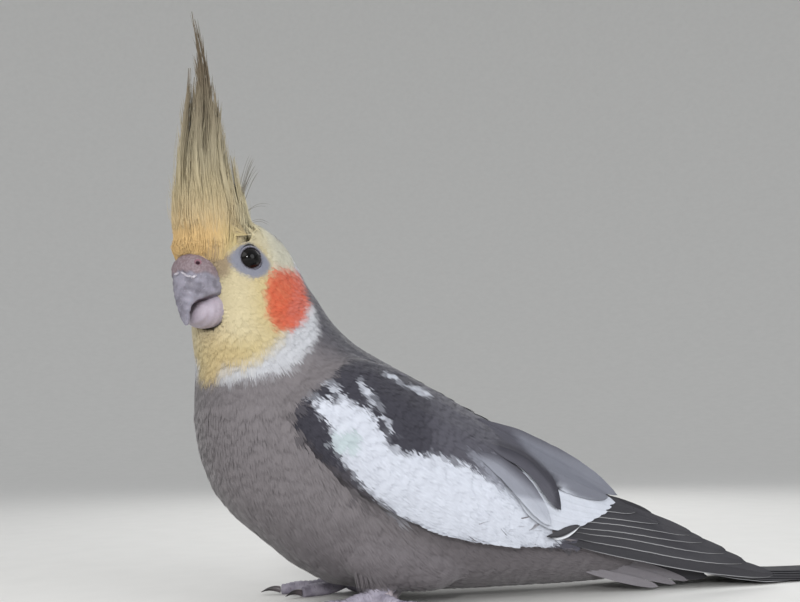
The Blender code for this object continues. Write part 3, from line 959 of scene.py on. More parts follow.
def coat_tree():
    """Geometry nodes that grow tufts on a skin: scatter, turn along the lie, realize, map."""
    tree = bpy.data.node_groups.new("coat growth", "GeometryNodeTree")
    kinds = {
        "Skin": "Geometry", "Spacing": "Float", "Seed": "Int", "Tufts": "Collection", "Lift": "Float",
        "Lift Spread": "Float", "Turn Spread": "Float", "Length Spread": "Float", "Patch": "Float",
        "Cling": "Float", "Material": "Material",
    }
    for name, kind in kinds.items():
        tree.interface.new_socket(name=name, in_out="INPUT", socket_type=f"NodeSocket{kind}")
    tree.interface.new_socket(name="Coat", in_out="OUTPUT", socket_type="NodeSocketGeometry")
    graph = Graph(tree)
    given = graph.node("NodeGroupInput").outputs

    def named(name, kind):
        node = graph.node("GeometryNodeInputNamedAttribute", {"data_type": kind}, {"Name": name})
        return open_socket(node.outputs, "Attribute")

    def store(geometry, name, kind, domain, value):
        node = graph.node(
            "GeometryNodeStoreNamedAttribute",
            {"data_type": kind, "domain": domain},
            {"Geometry": geometry, "Name": name},
        )
        graph.feed(open_socket(node.inputs, "Value"), value)
        return node.outputs["Geometry"]

    def number(name):
        return Value(graph, named(name, "FLOAT"))

    def chance(low, high, seed_step):
        seed = Value(graph, given["Seed"]) + seed_step
        node = graph.node("FunctionNodeRandomValue", {"data_type": "FLOAT"}, {2: low, 3: high, "Seed": seed})
        return Value(graph, node.outputs[1])

    def vector_sum(operation, inputs):
        return graph.node("ShaderNodeVectorMath", {"operation": operation}, inputs).outputs[0]

    spacing = Value(graph, given["Spacing"])
    scatter = graph.node(
        "GeometryNodeDistributePointsOnFaces",
        {"distribute_method": "POISSON"},
        {
            "Mesh": given["Skin"], "Distance Min": spacing, "Density Max": 9.0 / (spacing * spacing),
            "Density Factor": named("growth", "FLOAT"), "Seed": given["Seed"],
        },
    )
    points = scatter.outputs["Points"]
    points = store(points, "root", "FLOAT_VECTOR", "POINT", named("OFBake", "FLOAT_VECTOR"))
    points = store(points, "chance", "FLOAT", "POINT", chance(0.0, 1.0, 11))
    upright = graph.node(
        "FunctionNodeAlignRotationToVector", {"axis": "Z"}, {"Vector": named("out", "FLOAT_VECTOR")}
    )
    lying = graph.node(
        "FunctionNodeAlignRotationToVector",
        {"axis": "Y", "pivot_axis": "Z"},
        {"Rotation": upright.outputs[0], "Vector": named("lie", "FLOAT_VECTOR")},
    )
    lift = Value(graph, given["Lift"]) + Value(graph, given["Lift Spread"]) * chance(-1.0, 1.0, 1)
    points = store(points, "lift", "FLOAT", "POINT", lift)
    turn = Value(graph, given["Turn Spread"]) * (chance(-1.0, 1.0, 2) + chance(-1.0, 1.0, 3)) * 0.7
    tilt = graph.node("ShaderNodeCombineXYZ", {}, {"X": lift, "Z": turn})
    jitter = graph.node("FunctionNodeEulerToRotation", {}, {"Euler": tilt.outputs[0]})
    rotation = graph.node(
        "FunctionNodeRotateRotation",
        {"rotation_space": "LOCAL"},
        {"Rotation": lying.outputs[0], "Rotate By": jitter.outputs[0]},
    )
    length = number("length") * (1.0 + Value(graph, given["Length Spread"]) * chance(-1.0, 1.0, 4))
    pick = graph.node("FunctionNodeRandomValue", {"data_type": "INT"}, {4: 0, 5: TUFT_KINDS - 1, "Seed": 5})
    tufts = graph.node(
        "GeometryNodeCollectionInfo",
        {},
        {"Collection": given["Tufts"], "Separate Children": True, "Reset Children": True},
    )
    placed = graph.node(
        "GeometryNodeInstanceOnPoints",
        {},
        {
            "Points": points, "Instance": tufts.outputs[0], "Pick Instance": True,
            "Instance Index": pick.outputs[2], "Rotation": rotation.outputs[0], "Scale": length,
        },
    )
    real = graph.node("GeometryNodeRealizeInstances", {}, {"Geometry": placed.outputs[0]})
    nearest = graph.node("GeometryNodeProximity", {"target_element": "FACES"}, {0: given["Skin"]})
    facing = graph.node(
        "GeometryNodeSampleNearestSurface",
        {"data_type": "FLOAT_VECTOR"},
        {"Mesh": given["Skin"], "Value": named("out", "FLOAT_VECTOR")},
    )
    facing = store(real.outputs[0], "facing", "FLOAT_VECTOR", "POINT", facing.outputs["Value"])
    facing = store(facing, "rest", "FLOAT_VECTOR", "POINT", nearest.outputs["Position"])
    up = (number("high") + number("far") * number("lift")) * number("length")
    above = vector_sum("SCALE", {0: named("facing", "FLOAT_VECTOR"), "Scale": up})
    settled = vector_sum("ADD", {0: named("rest", "FLOAT_VECTOR"), 1: above})
    as_grown = graph.node("GeometryNodeInputPosition").outputs[0]
    settled = graph.node(
        "ShaderNodeMix", {"data_type": "VECTOR"}, {0: given["Cling"], 4: as_grown, 5: settled}
    )
    real = graph.node("GeometryNodeSetPosition", {}, {"Geometry": facing, "Position": settled.outputs[1]})
    centred = vector_sum("SUBTRACT", {0: named("own", "FLOAT_VECTOR"), 1: (0.5, 0.5, 0.0)})
    patch = vector_sum("SCALE", {0: centred, "Scale": given["Patch"]})
    place = vector_sum("ADD", {0: named("root", "FLOAT_VECTOR"), 1: patch})
    mapped = store(real.outputs[0], "OFBake", "FLOAT2", "CORNER", place)
    finished = graph.node("GeometryNodeSetMaterial", {}, {"Geometry": mapped, "Material": given["Material"]})
    graph.node("NodeGroupOutput", {}, {"Coat": finished.outputs[0]})
    return tree


def input_key(tree, name):
    """Identifier of a node group's input."""
    return next(i.identifier for i in tree.interface.items_tree if i.name == name and i.in_out == "INPUT")


def grow(name, tree, skin, growth, length, tint, material, tufts, spacing, seed, lift, lies, patch, lie=None):
    """Grows one patch of coat on the skin as a plain mesh. A lie given here lets it stand free."""
    data = skin.data.copy()
    for extra in ("wing", "foot", "tint"):
        data.attributes.remove(data.attributes[extra])
    set_attribute(data, "tint", "FLOAT_COLOR", tint)
    set_attribute(data, "growth", "FLOAT", growth)
    set_attribute(data, "length", "FLOAT", length * UNIT)
    if lie is not None:
        data.attributes.remove(data.attributes["lie"])
        set_attribute(data, "lie", "FLOAT_VECTOR", lie)
    carrier = add_object(f"{name}_carrier", data)
    modifier = carrier.modifiers.new("coat", "NODES")
    modifier.node_group = tree
    values = {
        "Spacing": spacing * UNIT, "Seed": seed, "Tufts": tufts, "Lift": math.radians(lift[0]),
        "Lift Spread": math.radians(lift[1]), "Turn Spread": math.radians(lies), "Length Spread": 0.22,
        "Patch": patch, "Cling": 1.0 if lie is None else 0.0, "Material": material,
    }
    for key, value in values.items():
        modifier[input_key(tree, key)] = value
    graph = bpy.context.evaluated_depsgraph_get()
    mesh = bpy.data.meshes.new_from_object(carrier.evaluated_get(graph))
    drop_object(carrier)
    places = mesh_points(mesh)
    places[:, 2] = np.maximum(places[:, 2], FLOOR_GAP)
    mesh.vertices.foreach_set("co", places.ravel())
    for extra in CARRIER_ONLY:
        if extra in mesh.attributes:
            mesh.attributes.remove(mesh.attributes[extra])
    return add_object(name, mesh)


def coat_look(graph):
    """Soft feather: dark at the root, each blade a little different."""
    along = graph.attribute("along")
    strand = graph.attribute("strand")
    chance = graph.attribute("chance")
    tint = graph.attribute("tint", "Color")
    mottle = graph.noise(420.0, 2.0)
    shade = (0.93 + 0.09 * along.eased(0.0, 0.7)) * (0.96 + 0.08 * strand) * (0.98 + 0.04 * chance)
    colour = graph.scaled(tint.socket, shade * (0.95 + 0.1 * mottle))
    fine = graph.noise(5200.0, 1.0)
    return {
        "Base Color": colour,
        "Roughness": 0.62 + 0.25 * fine,
        "Normal": graph.bump(fine, 0.2, 0.0002),
    }


def coat_colour(points, normals, wing):
    """Colours of the plumage at design points, on the body and on the wings."""
    side_on = ease(0.15, 0.45, np.abs(normals[:, 0]))
    covert = mixed(np.tile(MANTLE_GREY, (len(points), 1)), wing_colour(points[:, 1], points[:, 2]), side_on)
    return mixed(plumage_colour(points), covert, wing)


def coat_lengths(points, normals, settings):
    """Lengths of the body's and head's tufts, short on the face, round the legs and underneath."""
    height = points[:, 2]
    length = 1.9 + 2.2 * ease(8.0, 24.0, from_bill(points))
    length = length + (settings.body_length / UNIT - length) * ease(86.0, 52.0, height)
    leg = np.linalg.norm(one_side(points, 0) - SHANK_TOP, axis=1)
    length = length * (0.45 + 0.55 * ease(6.0, 13.0, leg))
    under = ease(0.2, 0.6, -normals[:, 2]) * ease(14.0, 8.0, height)
    return length * (1 - 0.3 * under)


def coat_growth(metres, wing, foot):
    """How closely each patch of coat grows at each point of the skin, by the patch's name."""
    points = to_design(metres)
    y, height = points[:, 1], points[:, 2]
    head, near_bill = in_head(points), from_bill(points)
    bill = away_from_solid(metres, BILL)
    eye = np.linalg.norm(one_side(head, 1) - EYE_MIDDLE, axis=1)
    bare = ease(0.0, 0.5, bill) * ease(4.55, 4.8, eye)
    ring = eye_ring(head, 0.3) * ease(76.0, 80.0, height)
    body = (1 - wing) * (1 - foot) * bare * (1 - ring)
    face = ease(FACE_REACH + 1, FACE_REACH - 1, near_bill) * ease(FACE_LOW - 1, FACE_LOW + 1, height)
    top = ease(HEAD_LOW - 1, HEAD_LOW + 1, height) * (1 - face)
    neck = ease(NECK_LOW - 1, NECK_LOW + 1, height) * (1 - top) * (1 - face) * ease(2.0, 0.0, y)
    trunk = (1 - top) * (1 - face) * (1 - neck)
    left, fore = ease(-0.5, 0.5, points[:, 0]), ease(1.0, -1.0, y)
    under_shells = ease(53.0, 57.0, y) * ease(33.0, 29.0, height)
    coverts = wing * (1 - under_shells) * ease(88.0, 80.0, y)
    rim = ease(2.4, 1.6, bill) * ease(0.05, 0.2, bill) * ease(76.0, 80.0, height) * (1 - ring)
    return {
        "coat_eye_rings": ring * (1 - ring) * 3.0 * bare,
        "coat_face": body * face,
        "coat_head": body * top,
        "coat_neck": body * neck,
        "coat_breast_left": body * trunk * fore * left,
        "coat_breast_right": body * trunk * fore * (1 - left),
        "coat_back_left": body * trunk * (1 - fore) * left,
        "coat_back_right": body * trunk * (1 - fore) * (1 - left),
        "coat_wing_left": coverts * left,
        "coat_wing_right": coverts * (1 - left),
        "coat_bill_rim": rim,
    }


COAT_PATCHES = [
    # name, tufts, length, spacing, lift and its spread in degrees, spread of the turn, seed, slot
    ("coat_eye_rings", "fine", 0.9, 0.6, (9, 4), 12, 0, "grey_plumage"),
    ("coat_face", "fine", "body", 0.56, (2.5, 0.4), 6, 1, "yellow_plumage"),
    ("coat_head", "small", "body", 0.82, (3, 0.4), 6, 2, "yellow_plumage"),
    ("coat_neck", "small", "body", 1.0, (3, 0.4), 6, 3, "grey_plumage"),
    ("coat_breast_left", "full", "body", 1.4, (5, 0.5), 6, 4, "grey_plumage"),
    ("coat_breast_right", "full", "body", 1.4, (5, 0.5), 6, 5, "grey_plumage"),
    ("coat_back_left", "full", "body", 1.5, (5, 0.5), 6, 6, "grey_plumage"),
    ("coat_back_right", "full", "body", 1.5, (5, 0.5), 6, 7, "grey_plumage"),
    ("coat_wing_left", "covert", "wing", 1.4, (3, 0.3), 5, 8, "dark_plumage"),
    ("coat_wing_right", "covert", "wing", 1.4, (3, 0.3), 5, 9, "dark_plumage"),
    ("coat_bill_rim", "fine", 1.8, 0.48, (9, 4), 14, 31, "yellow_plumage"),
]
TUFTS = {
    # blades, sections, spread, width of a blade, arch
    "fine": (5, 2, 0.24, 0.058, 0.03),
    "small": (7, 2, 0.26, 0.045, 0.03),
    "full": (7, 3, 0.26, 0.046, 0.03),
    "covert": (7, 3, 0.25, 0.05, 0.022),
}


def grow_coat(skin, settings):
    """All patches of the coat on the skin. The tufts of the bill's rim stand free, towards the bill."""
    metres = mesh_points(skin.data)
    points, normals = to_design(metres), mesh_normals(skin.data)
    wing, foot = get_attribute(skin.data, "wing", 1), get_attribute(skin.data, "foot", 1)
    growth = coat_growth(metres, wing, foot)
    lengths = {"body": coat_lengths(points, normals, settings)}
    lengths["wing"] = lengths["body"] * (1 - wing) + WING_TUFT_LENGTH * wing
    lie = get_attribute(skin.data, "lie", 3)
    tint = coat_colour(points + lie * (0.65 * lengths["wing"])[:, None], normals, wing)
    rim_tint, towards_bill = coat_colour(points, normals, wing), towards_solid(metres, BILL)
    tree = coat_tree()
    soft = make_material(
        "soft_feather", coat_look, Specular_IOR_Level=0.25, Sheen_Weight=0.25, Sheen_Roughness=0.5)
    groups = {kind: tuft_collection(f"{kind}_tuft", numbers) for kind, numbers in TUFTS.items()}
    for name, kind, length, spacing, lift, turn, seed, slot in COAT_PATCHES:
        long = lengths[length] if length in lengths else np.full(len(points), length)
        colour, free_lie = (rim_tint, towards_bill) if name == "coat_bill_rim" else (tint, None)
        obj = grow(name, tree, skin, growth[name], long, colour, soft, groups[kind],
                   spacing * settings.spacing, seed, lift, turn, settings.patch, free_lie)
        finish_piece(obj, soft, flat=True)
    for group in groups.values():
        drop_collection(group)


# Large feathers of the wings and tail


class Surface:
    """The outer side of a wing or the tail, as a height over a grid with steps of 1 mm."""

    RIM = 2  # places at the edge that are read from further in
    BLUR = 3

    def __init__(self, node, axis, low, high):
        self.axis = axis
        self.others = [k for k in range(3) if k != axis]
        self.low = np.array(low, float)
        counts = (np.array(high) - self.low).astype(int) + 1
        data = frame["nodes"][node].data
        corners = to_design([v.co[:] for v in data.vertices])
        tree = BVHTree.FromPolygons(corners.tolist(), [p.vertices[:] for p in data.polygons])
        down = Vector([-1.0 if k == axis else 0.0 for k in range(3)])
        heights = np.full(counts, np.nan)
        for i in range(counts[0]):
            for j in range(counts[1]):
                start = Vector((0, 0, 0))
                start[axis] = 300.0
                start[self.others[0]] = self.low[0] + i
                start[self.others[1]] = self.low[1] + j
                place = tree.ray_cast(start, down)[0]
                if place is not None:
                    heights[i, j] = place[axis]
        self.heights = self.filled(heights)
        self.slopes = np.gradient(self.heights)

    def filled(self, heights):
        """Carries the heights on past the rim and evens them out."""
        known = ~np.isnan(heights)
        for _ in range(self.RIM):
            inner = known.copy()
            inner[1:-1, 1:-1] &= known[2:, 1:-1] & known[:-2, 1:-1] & known[1:-1, 2:] & known[1:-1, :-2]
            if inner.sum() > 60:
                known = inner
        values = np.where(known, heights, 0.0)
        weight = known.astype(float)
        while (weight == 0).any():
            total, share = np.zeros_like(values), np.zeros_like(weight)
            for axis, shift in ((0, 1), (0, -1), (1, 1), (1, -1)):
                total += np.roll(values * (weight > 0), shift, axis)
                share += np.roll((weight > 0).astype(float), shift, axis)
            fresh = (weight == 0) & (share > 0)
            values[fresh] = total[fresh] / share[fresh]
            weight[fresh] = 1
        for _ in range(self.BLUR):
            wide = np.pad(values, 1, mode="edge")
            values = (wide[2:, 1:-1] + wide[:-2, 1:-1] + wide[1:-1, 2:] + wide[1:-1, :-2] + 2 * values) / 6
        return values

    def at(self, first, second):
        """Points on the surface and its outward directions at grid coordinates."""
        a = np.clip(first - self.low[0], 0, self.heights.shape[0] - 1.001)
        b = np.clip(second - self.low[1], 0, self.heights.shape[1] - 1.001)
        i, j = a.astype(int), b.astype(int)
        fa, fb = a - i, b - j

        def read(table):
            return (
                table[i, j] * (1 - fa) * (1 - fb) + table[i + 1, j] * fa * (1 - fb)
                + table[i, j + 1] * (1 - fa) * fb + table[i + 1, j + 1] * fa * fb
            )

        points = np.stack([first, first, first], axis=-1)
        normals = np.ones_like(points)
        points[..., self.axis] = read(self.heights)
        points[..., self.others[0]], points[..., self.others[1]] = first, second
        normals[..., self.others[0]] = -read(self.slopes[0])
        normals[..., self.others[1]] = -read(self.slopes[1])
        return points, unit_rows(normals)


ATLAS_CELLS = 12
BARB_REACH = 40.0  # length over which the barbs of a small feather are counted
ACROSS = np.array([-1.0, -0.9, -0.7, -0.35, -0.05, 0.0, 0.05, 0.35, 0.7, 0.9, 1.0])


def vane_outline(where, round_tip):
    """Half-width of a feather along its length, as a share of the widest place."""
    rise = ease(-0.08, 0.3, where) * (0.72 + 0.28 * ease(0.1, 0.6, where))
    reach = np.clip((1 - where) / round_tip, 0, 1)
    return rise * np.sqrt(np.maximum(1 - (1 - reach) ** 2.2, 0.0)) + 0.012


def add_shell(shape, points, normals, thickness, colours, reach, spread, chance, across):
    """Adds a thin closed feather from the grid of its outer side."""
    rows, columns = points.shape[:2]
    thin = (1 - np.abs(across) ** 3)[None, :, None] * thickness
    inner = points - normals * np.maximum(thin, 0.0)
    total = rows * columns
    faces = []
    for i in range(rows - 1):
        for k in range(columns - 1):
            a = i * columns + k
            quad = (a, a + 1, a + columns + 1, a + columns)
            faces.append(quad)
            faces.append(tuple(q + total for q in reversed(quad)))
    for i in range(rows - 1):
        a, b = i * columns, (i + 1) * columns
        faces.append((a + total, a, b, b + total))
        last = columns - 1
        faces.append((a + last, a + last + total, b + last + total, b + last))
    for k in range(columns - 1):
        a = (rows - 1) * columns + k
        faces.append((k + 1, k, k + total, k + 1 + total))
        faces.append((a, a + 1, a + 1 + total, a + total))
    index = len(shape.points)
    cell = np.array([index % ATLAS_CELLS, index // ATLAS_CELLS % ATLAS_CELLS], float)
    u = (np.tile(across, rows) + 1) / 2
    v = np.repeat(np.linspace(0, 1, rows), columns)
    place = np.r_[np.c_[0.04 + 0.42 * u, 0.04 + 0.92 * v], np.c_[0.54 + 0.42 * u, 0.04 + 0.92 * v]]
    place = (cell + place) / ATLAS_CELLS
    corner_map = [place[i] for face in faces for i in face]
    both = np.vstack([points.reshape(-1, 3), inner.reshape(-1, 3)])
    shape.add(
        both, faces, corner_map,
        tint=np.tile(colours.reshape(-1, 3), (2, 1)),
        reach=np.tile(reach.ravel(), 2),
        spread=np.tile(spread.ravel(), 2),
        along=np.tile(v, 2),
        across=np.tile(np.tile(across, rows), 2),
        chance=np.full(len(both), chance),
    )


def lay_feather(shape, surface, line, half, colour, rng, lift=(0.0, 0.6), shingle=0.25, camber=0.3,
                round_tip=0.3, rows=22, rim=None, rim_width=0.0, wear=0.05, thickness=0.22, paint=None):
    """Lays one feather on a surface along a line of grid places, from its root to its tip.

    Its colour is one for the whole feather, or comes from paint, a function of the points.
    """
    where = 1 - (1 - np.linspace(0, 1, rows)) ** 1.25
    middle = curve_at(line, where)
    run = unit_rows(np.gradient(middle, axis=0))
    aside = np.c_[-run[:, 1], run[:, 0]]
    outline = half * vane_outline(where, round_tip)
    edge = np.abs(ACROSS) > 0.85
    ragged = np.ones((rows, len(ACROSS)))
    notch = 1 - wear * rng.uniform(0, 1, (rows, 2)) * (rng.uniform(0, 1, (rows, 2)) > 0.55)
    ragged[:, edge & (ACROSS < 0)] *= notch[:, :1]
    ragged[:, edge & (ACROSS > 0)] *= notch[:, 1:]
    spread = outline[:, None] * ACROSS[None, :] * ragged
    sweep = 0.55 * np.abs(spread) * ease(0.5, 1.0, where)[:, None]
    first = middle[:, 0, None] + aside[:, 0, None] * spread - run[:, 0, None] * sweep
    second = middle[:, 1, None] + aside[:, 1, None] * spread - run[:, 1, None] * sweep
    points, normals = surface.at(first, second)
    height = lift[0] + (lift[1] - lift[0]) * where[:, None] + shingle * ACROSS[None, :]
    height = height + camber * (1 - ACROSS[None, :] ** 2) * ease(0.0, 0.3, where)[:, None]
    height = height + 0.16 * np.exp(-((ACROSS[None, :] / 0.045) ** 2)) * (1 - 0.7 * where[:, None])
    points = points + normals * height[..., None]
    colours = np.tile(np.asarray(colour, float), (rows, len(ACROSS), 1))
    if paint is not None:
        colours = paint(points.reshape(-1, 3)).reshape(colours.shape)
    if rim is not None:
        share = (ACROSS < -1 + rim_width).astype(float)[None, :] * ease(0.12, 0.3, where)[:, None]
        colours = colours * (1 - share[..., None]) + np.asarray(rim) * share[..., None]
    length = np.linalg.norm(np.diff(middle, axis=0), axis=1).sum()
    reach = np.tile((where * length)[:, None], (1, len(ACROSS)))
    add_shell(shape, points, normals, thickness, colours, reach, spread, rng.uniform(0, 1), ACROSS)


def vane_look(graph):
    """Large feather: barbs that slant from the shaft, a darker shaft and soft mottling."""
    reach, spread = graph.attribute("reach"), graph.attribute("spread")
    across = graph.attribute("across").size()
    chance = graph.attribute("chance")
    tint = graph.attribute("tint", "Color")
    slant = reach - spread.size() * 0.8
    barbs = (slant * 14.0).sine() * 0.5 + 0.5
    mottle = graph.noise(260.0, 3.0)
    fine = graph.noise(1400.0, 2.0)
    shaft = 1.0 - across.eased(0.02, 0.09)
    shade = (0.88 + 0.2 * mottle) * (0.97 + 0.05 * chance) * (0.95 + 0.08 * barbs) * (0.94 + 0.12 * fine)
    colour = graph.scaled(tint.socket, shade * (1.0 - 0.05 * shaft))
    return {
        "Base Color": colour,
        "Roughness": 0.48 + 0.2 * mottle,
        "Normal": graph.bump(barbs * 0.6 + fine * 0.5, 0.35, 0.0002),
    }


# Feathers of the left wing, as (y, z) places along each and its half-width.
WHITE_COVERTS = [
    # root, tip, half-width
    ((-14, 60), (-8.5, 45.5), 3.4), ((-11, 57), (-2.8, 37.6), 4.2), ((-8, 55), (4.0, 31.2), 4.9),
    ((-3, 50), (11.5, 26.0), 5.4), ((3, 46), (19.0, 21.8), 5.8), ((9, 43), (26.0, 21.2), 5.8),
    ((15, 41), (32.6, 18.8), 5.9), ((21, 39), (39.3, 16.2), 6.0), ((27, 37), (46.0, 15.2), 6.0),
    ((33, 35), (52.5, 17.2), 5.6), ((38, 34), (57.5, 20.2), 4.8),
]
COVERT_LENGTH = 0.9  # share of its line that a white covert fills
COVERT_WIDTH = 1.1
COVERT_BOW = (1.0, 0.8)
TERTIALS = [
    # root, middle, tip, half-width, as in the tables below
    ((36, 56), (56, 45), (83, 30.5), 4.8), ((36, 52), (54, 41), (78, 29.5), 4.8),
    ((30, 47), (42, 38.5), (53.4, 23.6), 3.6), ((34, 50), (50, 42.0), (57.2, 27.6), 4.0),
]
WHITE_SECONDARIES = [
    ((47, 49), (58, 39.5), (75, 31.0), 4.2), ((46, 44), (64, 34), (81, 28.0), 4.0),
    ((44, 40), (60, 30.5), (76, 25.8), 3.8), ((44, 37), (56, 28.0), (70, 24.2), 3.6),
    ((42, 34), (53, 26), (64.0, 22.6), 3.4),
]
PRIMARIES = [
    # from the lowest feather up
    ((51, 20.9), (88, 13.8), (138.6, 3.4), 3.5),
    ((51, 22.6), (86, 17.6), (128, 8.2), 3.5),
    ((51, 24.0), (86, 20.4), (121.5, 11.6), 3.4),
    ((51, 25.4), (84, 22.4), (114, 15.4), 3.2),
    ((51, 27.4), (84, 24.4), (110, 17.8), 3.1),
    ((51, 29.4), (80, 26.6), (99, 21.6), 3.0),
    ((51, 31.6), (74, 29.4), (90, 25.2), 2.9),
]
SMALL_DARK_COVERTS = [((52.5, 20.6), (57, 20.8), (63.6, 23.0), 1.5)]
UNDERTAIL = [
    # root, middle, tip, half-width and how far from the middle of the tail
    ((66, 17.0), (92, 11.2), (126, 4.6), 2.7, 11.2), ((66, 14.0), (90, 8.4), (118, 3.0), 2.6, 11.5),
    ((70, 14.0), (92, 8.0), (110, 2.2), 1.4, 12.4), ((68, 11.6), (90, 6.0), (105, 1.6), 1.4, 13.2),
    ((66, 9.6), (84, 4.8), (98, 1.2), 1.4, 14.2), ((66, 13.0), (82, 8.6), (96, 4.0), 1.4, 13.6),
]


def denser(rows):
    """Rows of a feather table with one more between each two."""
    found = [rows[0]]
    for before, after in zip(rows, rows[1:]):
        between = tuple((np.array(a) + np.array(b)) / 2 for a, b in zip(before, after))
        found += [between, after]
    return found


def wing_feathers(surface, rng):
    """Large feathers of the left wing in design millimetres."""
    shape = Shape()

    def toned(colour, spread=0.06):
        return np.asarray(colour) * (1 + rng.uniform(-spread, spread))

    def marked(points):
        return wing_colour(points[:, 1], points[:, 2]) * rng.uniform(0.985, 1.015)

    for k, (*line, half) in enumerate(PRIMARIES):
        lift = (-0.8 + 0.14 * k, -0.4 + 0.2 * k)
        lay_feather(shape, surface, line, half, toned(SLATE), rng, lift=lift, shingle=-0.2, camber=0.18,
                    round_tip=0.42, rows=34, rim=PALE_EDGE, rim_width=0.1, wear=0.03)
    for *line, half in denser(WHITE_SECONDARIES):
        lay_feather(shape, surface, line, half, toned(tones().wing_white, 0.03), rng, lift=(-0.1, 1.35),
                    rows=30, camber=0.1, shingle=-0.1, round_tip=0.9, wear=0.04, thickness=0.12)
    for *line, half in SMALL_DARK_COVERTS:
        lay_feather(shape, surface, line, half, toned(SLATE), rng, lift=(0.9, 1.9), rim=WHITE, rim_width=0.35,
                    round_tip=0.6, shingle=-0.1)
    for root, tip, half in denser(WHITE_COVERTS):
        root, tip = np.array(root), np.array(tip)
        tip = root + COVERT_LENGTH * (tip - root)
        middle = (root + tip) / 2 + COVERT_BOW
        lay_feather(shape, surface, (root, middle, tip), COVERT_WIDTH * half, WHITE, rng, lift=(-1.6, -0.5),
                    shingle=-0.05, camber=0.1, round_tip=0.8, rows=26, paint=marked, thickness=0.12,
                    wear=0.02)
    for *line, half in TERTIALS:
        lay_feather(shape, surface, line, half, WING_GREY, rng, lift=(-0.5, 1.7), shingle=-0.1, camber=0.3,
                    round_tip=0.5, rows=30, paint=marked, wear=0.03)
    return shape


WING_FRONT_Y = -26.0
WING_FRONT_Z = 60.0
RIGHT_WING_RAISE_DEG = 1.7


def mirrored_wing(points):
    """Design points of the left wing brought to the right wing, whose tip is raised."""
    turn = math.radians(RIGHT_WING_RAISE_DEG)
    y, z = points[:, 1] - WING_FRONT_Y, points[:, 2] - WING_FRONT_Z
    return np.c_[
        -points[:, 0],
        WING_FRONT_Y + y * math.cos(turn) - z * math.sin(turn),
        WING_FRONT_Z + y * math.sin(turn) + z * math.cos(turn),
    ]


def make_wings():
    """Large feathers of both wings, the right ones mirrored, and their material."""
    material = make_material("flight_feather", vane_look, Specular_IOR_Level=0.4)
    surface = Surface("wing_left", 0, (-32, -4), (146, 88))
    for side, seed in (("left", 3), ("right", 4)):
        shape = wing_feathers(surface, np.random.default_rng(seed))
        if side == "right":
            shape.points = [mirrored_wing(p) for p in shape.points]
            shape.faces = [list(reversed(f)) for f in shape.faces]
            maps, start = [], 0
            for face in shape.faces:
                maps += reversed(shape.maps[start : start + len(face)])
                start += len(face)
            shape.maps = maps
        finish_shape(f"wing_feathers_{side}", shape, material, [f"wing_{side}"])
    return material


# Tail

TAIL_TIPS_Y = [227.0, 214.0, 199.0, 183.0, 166.0, 148.0]
TAIL_FLOOR_GAP = 0.25
UNDERTAIL_GREY = linear(126, 122, 127)


def make_tail(material):
    """Twelve long feathers, the middle pair on top, and grey feathers over their roots."""
    surface = Surface("tail", 2, (-20, 70), (20, 232))
    surface.heights = np.maximum(surface.heights, 1.0)
    rng = np.random.default_rng(8)
    shape = Shape()
    for k in reversed(range(len(TAIL_TIPS_Y))):
        tip = TAIL_TIPS_Y[k]
        for sign in (-1, 1):
            root, middle, end = sign * (0.6 + 0.9 * k), sign * (1.2 + 1.6 * k), sign * (0.9 + 1.75 * k)
            line = ((root, 84), (middle, 130), (end, tip))
            drop = -0.42 * k
            colour = np.asarray(SLATE) * rng.uniform(0.9, 1.08)
            rim = PALE_EDGE if k == len(TAIL_TIPS_Y) - 1 else None
            lay_feather(shape, surface, line, 4.9 - 0.25 * k, colour, rng, lift=(0.3 + drop, 0.35 + drop),
                        shingle=0.0, camber=0.3, round_tip=0.3, rows=40, rim=rim, rim_width=0.16, wear=0.03)
    shape.points = [np.c_[p[:, :2], np.maximum(p[:, 2], TAIL_FLOOR_GAP)] for p in shape.points]
    for root, middle, tip, half, aside in UNDERTAIL:
        for sign in (-1, 1):
            where = np.linspace(0, 1, 22)
            line = curve_at((root, middle, tip), where)
            run = unit_rows(np.gradient(line, axis=0))
            outline = half * vane_outline(where, 0.4)
            spread = outline[:, None] * ACROSS[None, :]
            y = line[:, 0, None] - run[:, 1, None] * spread
            z = np.maximum(line[:, 1, None] + run[:, 0, None] * spread, 0.3)
            x = sign * (aside - 3.5 * where[:, None] - 0.02 * spread**2) + 0 * y
            grid = np.stack([x, y, z], axis=-1)
            normals = np.tile([float(sign), 0.0, 0.0], (*y.shape, 1))
            # Slate on the two widest feathers: partly the dark side of the tail, partly painted shadow in the
            # dark wedge between the primaries and the tail.
            colours = np.tile(SLATE if half > 2 else UNDERTAIL_GREY, (*y.shape, 1))
            reach = np.tile((where * BARB_REACH)[:, None], (1, len(ACROSS)))
            order = slice(None) if sign > 0 else slice(None, None, -1)
            add_shell(shape, grid[:, order], normals, 0.2, colours, reach, spread, rng.uniform(0, 1), ACROSS)
    finish_shape("tail_feathers", shape, material, ["tail"])


# Crest, in the head's frame: forward, height above the floor, half-length, half-width.

CREST_STATIONS = [
    (11.6, 106.0, 11.4, 9.8), (11.0, 112.0, 12.4, 9.9), (10.6, 117.0, 13.0, 9.9), (11.4, 123.0, 12.2, 9.6),
    (12.6, 128.0, 11.2, 9.2), (13.8, 133.5, 9.9, 8.5), (14.4, 140.0, 8.6, 7.5), (14.2, 147.0, 7.6, 6.6),
    (14.7, 156.5, 6.1, 5.4), (15.2, 163.0, 5.1, 4.4), (16.3, 168.5, 3.7, 3.1), (18.3, 175.0, 2.0, 1.7),
    (20.8, 183.2, 0.2, 0.2),
]
CREST_PALE = linear(202, 194, 164)
CREST_COLOURS = [
    (108, linear(193, 163, 116)), (116, linear(191, 171, 134)), (125, linear(183, 169, 136)),
    (136, linear(170, 160, 134)), (150, linear(140, 130, 110)), (166, linear(104, 92, 76)), (186, CREST_DARK),
]


